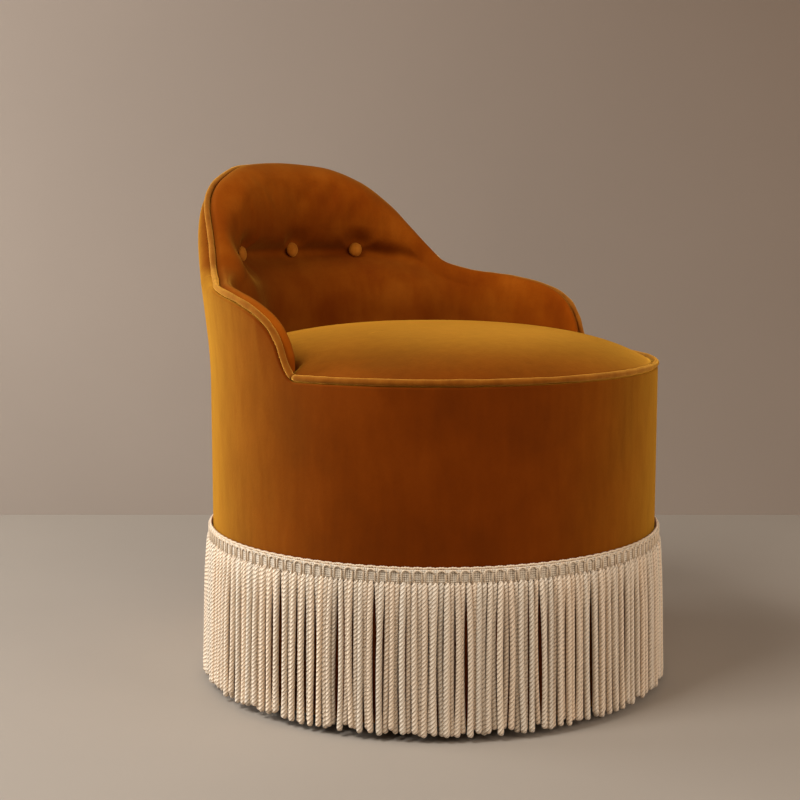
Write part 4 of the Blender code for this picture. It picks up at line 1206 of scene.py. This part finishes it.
@dataclass
class Fringe:
    """A bullion fringe of twisted cotton strands under a woven header with small arches of cord."""

    form: StoolForm
    cord: Finish
    weave: Finish
    plain: Finish
    strands: int = 300
    sides: int = 6
    rings: int = 12
    radius: float = 0.0032
    sizes: Pair = (0.93, 1.1)
    top_share: float = 0.5
    tip_radius: float = 0.0037
    tip_shares: tuple = (0.96, 1.0, 0.8)
    tip_end: float = 0.0008
    ends: tuple = ((0.0, 0.02, 0.12), (0.955, 0.978, 0.993, 1.0))  # where its first and last rings are
    stripe: float = 0.0046
    stripes: Pair = (0.92, 1.1)
    tones: Pair = (0.95, 1.06)
    warmth: Pair = (-0.04, 0.05)
    painted_shades: tuple = (0.9, 1.0, 1.0, 0.9, 0.78, 0.78)  # painted shade round a strand: darker at its sides and behind
    # painted shade on the back row of strands
    back_tone: float = 0.97
    row_step: float = 0.0019  # how far every other strand stands before the middle, or behind it
    row_ease: Pair = (0.3, 2.5)  # the share of it at the top, and how fast the rest follows
    top: float = 0.1728
    bottom: float = 0.006
    shortfall: float = 0.007  # how much shorter than the longest a strand may be
    top_radius: float = 0.2742
    foot_radius: float = 0.2800
    spread_power: float = 0.7
    wave: float = 0.0010  # the strands swing in groups
    wave_strands: float = 6.3
    wave_drift: Pair = (1.7, 0.37)  # how far the groups stray, and how fast from strand to strand
    swing: float = 0.0023  # and each by itself
    swing_power: float = 1.1
    bow: float = 0.0021
    scatter: float = 0.0007
    cells: int = 138
    band_foot: float = 0.1712
    band_top: float = 0.1862
    band_radius: float = 0.2745
    band_inside: float = 0.2714
    band_points: int = 4  # to a cell
    band_rows: int = 6
    arch_cord: float = 0.0010
    arch_sides: int = 5
    arch_turns: int = 8
    arch_proud: float = 0.0006
    arch_leg: float = 0.0018  # from the line between two cells to the leg of an arch
    arch_spring: float = 0.1818
    arch_top: float = 0.1857
    picot: float = 0.0012
    picot_step: float = 0.0033
    picot_points: int = 8
    picot_sides: int = 6
    picot_sizes: Pair = (0.78, 0.42)
    picot_lift: Pair = (0.0009, 0.0008)
    picot_proud: float = 0.0016
    seed: int = 5

    def strand(self, chance: random.Random, number: int) -> tuple[Array, Array]:
        """One strand's middle line and radii.

        Args:
            chance: the seeded source of scatter.
            number: which strand it is.

        Returns:
            Points from the header down, and the radius at each.
        """
        end = self.bottom + self.shortfall * chance.random() ** 2
        first, last = self.ends
        middle = np.linspace(first[-1], last[0], self.rings - len(first) - len(last) + 2)
        shares = np.concatenate([first[:-1], middle, last[1:]])
        far, fast = self.wave_drift
        phase = number * math.tau / self.wave_strands + far * math.sin(number * fast)
        swing = self.wave * math.sin(phase)
        swing += self.swing * chance.uniform(-1, 1)
        bow = self.bow * chance.uniform(-1, 1)
        row = self.row_step if number % 2 else -self.row_step
        forth = self.scatter * chance.uniform(-1, 1) + row
        start = self.scatter * chance.uniform(-1, 1)
        across = start + swing * shares**self.swing_power + bow * np.sin(math.pi * shares)
        turn = math.tau / self.strands * number + across / self.foot_radius
        spread = (self.foot_radius - self.top_radius) * shares**self.spread_power
        share, gain = self.row_ease
        out = self.top_radius + spread + forth * np.minimum(1, share + gain * shares)
        radii = np.full(len(shares), self.radius * chance.uniform(*self.sizes))
        radii[0] *= self.top_share
        radii[-4:] = [*(self.tip_radius * share for share in self.tip_shares), self.tip_end]
        return self.form.round_axis(turn, out, self.top + (end - self.top) * shares), radii

    def build_strands(self) -> None:
        """Makes all the strands as one mesh, each with its own tone, painted shade and start of twist.
        """
        chance = random.Random(self.seed)
        turns = np.linspace(0, math.tau, self.sides, endpoint=False)[:, None]
        model = grid_faces(self.rings, self.sides, ring=False)
        corner = np.arange(self.sides)
        around = np.stack([corner, corner + 1, corner + 1, corner], axis=-1) / self.sides
        caps = np.tile((0.0, 0.25), (2 * self.sides, 1))
        points, faces, maps, tones = [], [], [], []
        for number in range(self.strands):
            path, radii = self.strand(chance, number)
            angle = math.tau * number / self.strands
            out = np.array([math.sin(angle), math.cos(angle), 0.0])
            side = np.array([math.cos(angle), -math.sin(angle), 0.0])
            ways = np.cos(turns) * side + np.sin(turns) * out
            points.append(path[:, None] + radii[:, None, None] * ways[None])
            base = number * self.rings * self.sides
            faces += [[base + n for n in face] for face in model]
            start, stripe = chance.random(), self.stripe * chance.uniform(*self.stripes)
            tone, warm = chance.uniform(*self.tones), chance.uniform(*self.warmth)
            along = start + (self.top - path[:, 2]) / stripe
            along = np.stack([along[:-1], along[:-1], along[1:], along[1:]], axis=-1)
            spots = np.stack(np.broadcast_arrays(around[None], along[:, None]), axis=-1)
            maps += [spots.reshape(-1, 2), caps]
            # Painted shade: the back row is darker, and each strand at its sides and behind.
            tone *= 1.0 if number % 2 else self.back_tone
            painted_shades = [tone * shade for shade in self.painted_shades]
            tones += [(s * (1 + warm), s, s * (1 - warm), 1.0) for s in painted_shades] * self.rings
        piece = mesh_object("bullion_fringe_strands", np.concatenate(points), faces)
        layer = piece.data.uv_layers.new(name="twist")
        layer.data.foreach_set("uv", np.concatenate(maps).astype(np.float32).ravel())
        tone_piece(piece, np.array(tones))
        finish_piece(piece, self.cord, ["bullion_fringe"])

    def build_band(self) -> None:
        """Makes the woven band behind the arches."""
        axis_y = self.form.axis_y()
        angle = np.linspace(0, math.tau, self.cells * self.band_points, endpoint=False)[:, None]
        heights = np.linspace(self.band_foot, self.band_top, self.band_rows)[None]
        outer, inner = (
            self.form.round_axis(angle, np.full_like(heights, radius), heights)
            for radius in (self.band_radius, self.band_inside)
        )
        sections = np.concatenate([outer, inner[:, ::-1]], axis=1)
        band = loft("fringe_header_band", sections, ring=True)
        layer = band.data.uv_layers.new(name="weave")
        for face in band.data.polygons:
            middle = math.atan2(face.center.x, face.center.y - axis_y)
            for loop in face.loop_indices:
                spot = band.data.vertices[band.data.loops[loop].vertex_index].co
                turn = math.atan2(spot.x, spot.y - axis_y)
                turn += math.tau * round((middle - turn) / math.tau)
                layer.data[loop].uv = (turn * self.band_radius, spot.z)
        finish_piece(band, self.weave, ["fringe_header"])

    def build_arches(self) -> None:
        """Makes the cord that arches over each cell, with its legs in pairs between the cells."""
        axis = np.array((0, self.form.axis_y(), 0))
        width = math.tau * self.band_radius / self.cells / 2 - self.arch_leg
        turns = np.linspace(math.pi, 0, self.arch_turns)[1:-1]
        across = np.concatenate([[-width] * 2, width * np.cos(turns), [width] * 2])
        over = self.arch_spring + (self.arch_top - self.arch_spring) * np.sin(turns)
        leg = [self.band_foot, self.arch_spring]
        levels = np.concatenate([leg, over, leg[::-1]])
        reach = self.band_radius + self.arch_proud
        first = self.form.round_axis(across / self.band_radius, reach, levels)
        model = tube("arch", first, np.full(len(first), self.arch_cord), self.arch_sides)
        points = np.array([vert.co for vert in model.data.vertices]) - axis
        model_faces = [list(face.vertices) for face in model.data.polygons]
        bpy.data.objects.remove(model, do_unlink=True)
        all_points, faces = [], []
        for number in range(self.cells):
            turn = Matrix.Rotation(-math.tau * (number + 0.5) / self.cells, 3, "Z")
            all_points.append(points @ np.array(turn).T + axis)
            faces += [[n + number * len(points) for n in face] for face in model_faces]
        arches = mesh_object("fringe_header_arches", np.concatenate(all_points), faces)
        finish_piece(arches, self.plain)

    def build_picots(self) -> None:
        """Makes the beaded cord along the top of the header."""
        picots = round(math.tau * self.band_inside / self.picot_step)
        angle = np.linspace(0, math.tau, self.picot_points * picots, endpoint=False)
        bead = np.abs(np.sin(angle * picots / 2))
        lift, rise = self.picot_lift
        height = self.band_top + lift + rise * np.abs(np.sin(angle * self.cells / 2))
        path = self.form.round_axis(angle, self.band_inside + self.picot_proud, height)
        thin, more = self.picot_sizes
        radii = self.picot * (thin + more * bead)
        cord = tube("fringe_header_picots", path, radii, self.picot_sides, ring=True)
        finish_piece(cord, self.plain)

    def build(self) -> None:
        """Makes the strands and the header."""
        self.build_strands()
        self.build_band()
        self.build_arches()
        self.build_picots()


@dataclass(frozen=True)
class Sheet:
    """A round cloth that is stretched flat on a board."""

    node: str
    radius: float
    bottom: float
    finish: Finish
    slot: Slot
    under: str


@dataclass
class Carcass:
    """What the upholstery hides: dressed CAD pieces, woven webbing and two stretched cloths."""

    form: StoolForm
    jute: Finish
    sheets: tuple[Sheet, ...]
    finishes: dict[str, Finish]  # by how the names of the CAD nodes start
    strips: int = 4
    strip_width: float = 0.045
    strip_thickness: float = 0.0025
    strip_chamfer: float = 0.001
    strip_pitch: float = 0.066
    strip_end: float = 0.250
    strip_rows: int = 121
    strip_margin: float = 0.001
    weave_rise: float = 0.0014
    web_level: float = 0.33685
    board_hole: float = 0.1992
    cloth: float = 0.0008
    cloth_sides: int = 96
    hem: float = 0.014
    hem_fold: float = 0.014 / 12
    flat_share: float = 0.9  # a face whose normal stands up by more than this is flat

    def dress_cad(self) -> None:
        """Gives the rigid CAD pieces that stay their finishes."""
        for name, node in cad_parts.items():
            for start, finish in self.finishes.items():
                if name.startswith(start):
                    for slot in node.material_slots:
                        slot.material = finish.material()

    def strip_offset(self, number: int) -> float:
        """How far a strip is from the middle."""
        return (number - (self.strips - 1) / 2) * self.strip_pitch

    def strip_curve(self, number: int, way: int) -> tuple[Array, Array]:
        """Where along a strip its sections are, and how high it rises over the others there."""
        half = self.strip_width / 2
        edge = abs(self.strip_offset(number)) + half
        end = math.sqrt(self.strip_end**2 - edge**2)
        on_board = math.sqrt(self.board_hole**2 - edge**2) - self.strip_margin
        spots, rises = [-end, -on_board], [0.0, 0.0]
        for crossing in range(self.strips):
            rise = self.weave_rise * (1 if (crossing + number) % 2 == way else -1)
            middle, reach = self.strip_offset(crossing), half + self.strip_margin
            spots += [middle - reach, middle + reach]
            rises += [rise, rise]
        away = np.linspace(-end, end, self.strip_rows)
        return away, smooth_curve(spots + [on_board, end], rises + [0.0, 0.0])(away)

    def build_strip(self, number: int, way: int) -> None:
        """Makes a strip of webbing that runs over and under the others.

        Args:
            number: which strip it is, from nought.
            way: nought for one across the stool, one for one from front to back.
        """
        away, rise = self.strip_curve(number, way)
        half, thick = self.strip_width / 2, self.strip_thickness / 2
        flat = half - self.strip_chamfer
        side = -0.5 * thick
        ring = np.array([(-half, side), (-flat, -thick), (flat, -thick), (half, side)])
        ring = np.concatenate([ring, -ring])
        across = self.strip_offset(number) + ring[None, :, 0]
        spots = [away[:, None], across] if way == 0 else [across, away[:, None]]
        spots[1] = spots[1] + self.form.axis_y()
        level = self.web_level + rise[:, None] + ring[None, :, 1]
        kind = ("cross", "long")[way]
        sections = np.stack(np.broadcast_arrays(*spots, level), axis=-1)
        piece = loft(f"webbing_{kind}_{number + 1}_woven", sections, ring=False)
        plane_map(piece)
        finish_piece(piece, self.jute, [f"webbing_{kind}_{number + 1}"])

    def build_sheet(self, sheet: Sheet) -> None:
        """Makes a round sheet, hemmed at its edge and tacked flat."""
        piece = primitive(
            sheet.node + "_woven",
            bpy.ops.mesh.primitive_cylinder_add,
            vertices=self.cloth_sides,
            radius=sheet.radius,
            depth=self.cloth,
            location=(0, self.form.axis_y(), sheet.bottom + self.cloth / 2),
        )
        bpy.ops.object.transform_apply(location=True, rotation=True, scale=True)
        for face in piece.data.polygons:
            face.select = abs(face.normal.z) > self.flat_share
        bpy.ops.object.mode_set(mode="EDIT")
        bpy.ops.mesh.select_mode(type="FACE")
        bpy.ops.mesh.inset(thickness=self.hem)
        bpy.ops.mesh.inset(thickness=self.hem_fold)
        bpy.ops.object.mode_set(mode="OBJECT")
        plane_map(piece)
        finish_piece(piece, sheet.finish, [sheet.node])

    def build(self) -> None:
        """Dresses the CAD pieces and makes the webbing and both cloths."""
        self.dress_cad()
        for way in (0, 1):
            for number in range(self.strips):
                self.build_strip(number, way)
        for sheet in self.sheets:
            self.build_sheet(sheet)


@dataclass(frozen=True)
class Lamp:
    """A square soft lamp. Its place and aim are right, back and up, as the camera sees it."""

    name: str
    place: Triple
    size: float
    power: float
    colour: str = "#ffffff"
    aim: Triple = (0, 0, 0.35)


@dataclass
class Studio:
    """A pale floor, a plain wall behind it, soft lamps and the camera of the photograph."""

    axis_y: float
    azimuth: float = -0.8056
    floor: Finish = MattSurface("matt_floor", "#a59a8d", "#9e9284", (1, 0, 0), (-0.5, 1.0))
    # Painted shade on both: the floor darkens a little to the right, and the wall to the right and up.
    wall: Finish = MattSurface("matt_wall", "#a19386", "#705d4c", (1, 1.2, 0), (-9.78, -7.14))
    room: float = 16.0
    wall_place: Triple = (0, 0.92, 7.9)
    lamps: tuple[Lamp, ...] = (
        Lamp("low_left", (-2.6, 0.3, 0.7), 1.2, 52, aim=(0, 0.2, 0.35)),
        Lamp("high_left", (-1.3, -1.0, 2.2), 1.0, 48),
        Lamp("front", (0.2, -2.3, 2.2), 1.6, 12, "#fff4e8"),
        Lamp("front_right", (2.0, -1.3, 1.3), 1.3, 24, "#fff0e2"),
        Lamp("right", (2.4, -0.2, 1.0), 1.3, 9, "#fff0e2"),
    )
    ambient: str = "#ffffff"
    ambient_strength: float = 0.05
    lens: float = 64.75
    sensor: float = 36.0
    camera: Triple = (-1.2911, -1.1831, 0.5486)
    camera_tilt: float = -0.1229

    def spot(self, right: float, back: float, up: float) -> Triple:
        """A place from how far right, back and up it is, as the camera sees it."""
        cos, sin = math.cos(self.azimuth), math.sin(self.azimuth)
        return (right * cos - back * sin, right * sin + back * cos + self.axis_y, up)

    def build_room(self) -> None:
        """Makes the floor and the wall."""
        for name, finish, place, tilt in (
            ("floor", self.floor, (0, 0, 0), 0),
            ("wall", self.wall, self.spot(*self.wall_place), math.pi / 2),
        ):
            where = {"location": place, "rotation": (tilt, 0, self.azimuth)}
            surface = primitive(name, bpy.ops.mesh.primitive_plane_add, size=self.room, **where)
            finish.paint(surface)

    def add_lamp(self, lamp: Lamp) -> None:
        """Adds a lamp."""
        light = bpy.data.lights.new(lamp.name, "AREA")
        light.size = lamp.size
        light.energy = lamp.power
        light.color = linear(lamp.colour)[:3]
        made = link(lamp.name, light)
        made.location = self.spot(*lamp.place)
        way = Vector(self.spot(*lamp.aim)) - made.location
        made.rotation_euler = way.to_track_quat("-Z", "Y").to_euler()

    def build(self) -> None:
        """Makes the room, the lamps, the world and the camera."""
        self.build_room()
        for lamp in self.lamps:
            self.add_lamp(lamp)
        world = bpy.data.worlds.new("studio")
        world.use_nodes = True
        background = world.node_tree.nodes["Background"]
        set_inputs(background, color=linear(self.ambient), strength=self.ambient_strength)
        bpy.context.scene.world = world
        lens = bpy.data.cameras.new("camera")
        lens.lens = self.lens
        lens.sensor_width = self.sensor
        camera = link("camera", lens)
        camera.location = Vector(self.camera) + Vector((0, self.axis_y, 0))
        camera.rotation_euler = (math.pi / 2 + self.camera_tilt, 0.0, self.azimuth)
        bpy.context.scene.camera = camera
        bpy.context.scene.view_settings.view_transform = "Standard"


def main() -> None:
    """Builds every piece in order, then the studio."""
    logging.basicConfig(level=logging.INFO, format="%(message)s")
    form = StoolForm()
    # Velvet that is pulled round a cord or button shows its backing through an opened, paler pile.
    tight = CottonVelvet(
        "amber_velvet_pulled_tight", "#7b400d", "#894b11", "#955617", "#c38e3e",
        nap_patch=0.02, streak=0.006,
    )
    covered = CottonVelvet(
        "amber_velvet_over_buttons", "#945010", "#a25c16", "#b0691f", "#a8702c",
        nap_patch=0.02, streak=0.006,
    )
    # A shaded copy for the hollow of the back: painted shade darkens it where it turns away, its sheen
    # is weaker, and painted light makes it paler towards the top of the back and the arms.
    inside = CottonVelvet(
        "amber_velvet_in_the_hollow", "#6e2e02", "#773603", "#824007", "#5e2f08",
        sheen=0.35, nap_patch=0.07, painted_light_gain=1.6,
    )
    # On the seat the painted sheen turns it pale only where it is seen very flat.
    seat = CottonVelvet("amber_velvet_on_the_seat", gather=4.0)
    # The header: a coarse open weave behind, and a smooth close one for its arches and picots.
    weave = WovenCloth("cream_cotton_weave", "#e9dac3", "#7f6547", 0.0024, 0.0005)
    plain = WovenCloth("cream_cotton_gimp", "#f2e6d3", "#e1caac", 0.0011, 0.0003)
    twine = TwistedCotton("waxed_linen_twine", "#d8c39c", "#c2a87c", "#7c6240")
    # Below and inside: dull cloths with a visible thread, pale bare wood, dark feet, grey steel.
    jute = WovenCloth("jute_webbing", "#b08c5c", "#6f5432", 0.0030, 0.0006)
    hessian = WovenCloth("hessian_cloth", "#b89a6c", "#7c6240", 0.0018, 0.0004)
    black = WovenCloth("black_base_cloth", "#2a2726", "#141212", 0.0012, 0.0002)
    sheets = (
        Sheet("platform_cloth", 0.250, 0.3398, hessian, Slot.HESSIAN, "seat_board"),
        Sheet("dust_cover", 0.2602, 0.0143, black, Slot.BLACK, "base_board"),
    )
    plywood = Wood("birch_plywood", "#dcc298", "#c0a070", (0.12, 1.0, 1.0), 0.005, 0.55)
    finishes = dict.fromkeys(("base_board", "seat_board", "front_panel", "back_panel"), plywood)
    finishes |= {
        "frame_post": Wood("planed_beech", "#d3a97c", "#b5875a", (1.0, 1.0, 0.07), 0.004, 0.5),
        "glide": Moulded("dark_nylon", "#3a3431", "#2b2624", 0.0, 0.45),
        "twine_washer": Moulded("zinc_plated_steel", "#b9bcc0", "#94989d", 1.0, 0.35),
    }
    Carcass(form, jute, sheets, finishes).build()
    OutsideCover(form, CottonVelvet()).build()
    back = InsideBack(form, inside)
    back.build()
    SeatCushion(form, back, seat).build()
    Pipings(form, tight).build()
    Buttons(form, back, covered, twine).build()
    Fringe(form, TwistedCotton(), weave, plain).build()
    Studio(form.axis_y()).build()


if __name__ == "__main__":
    main()
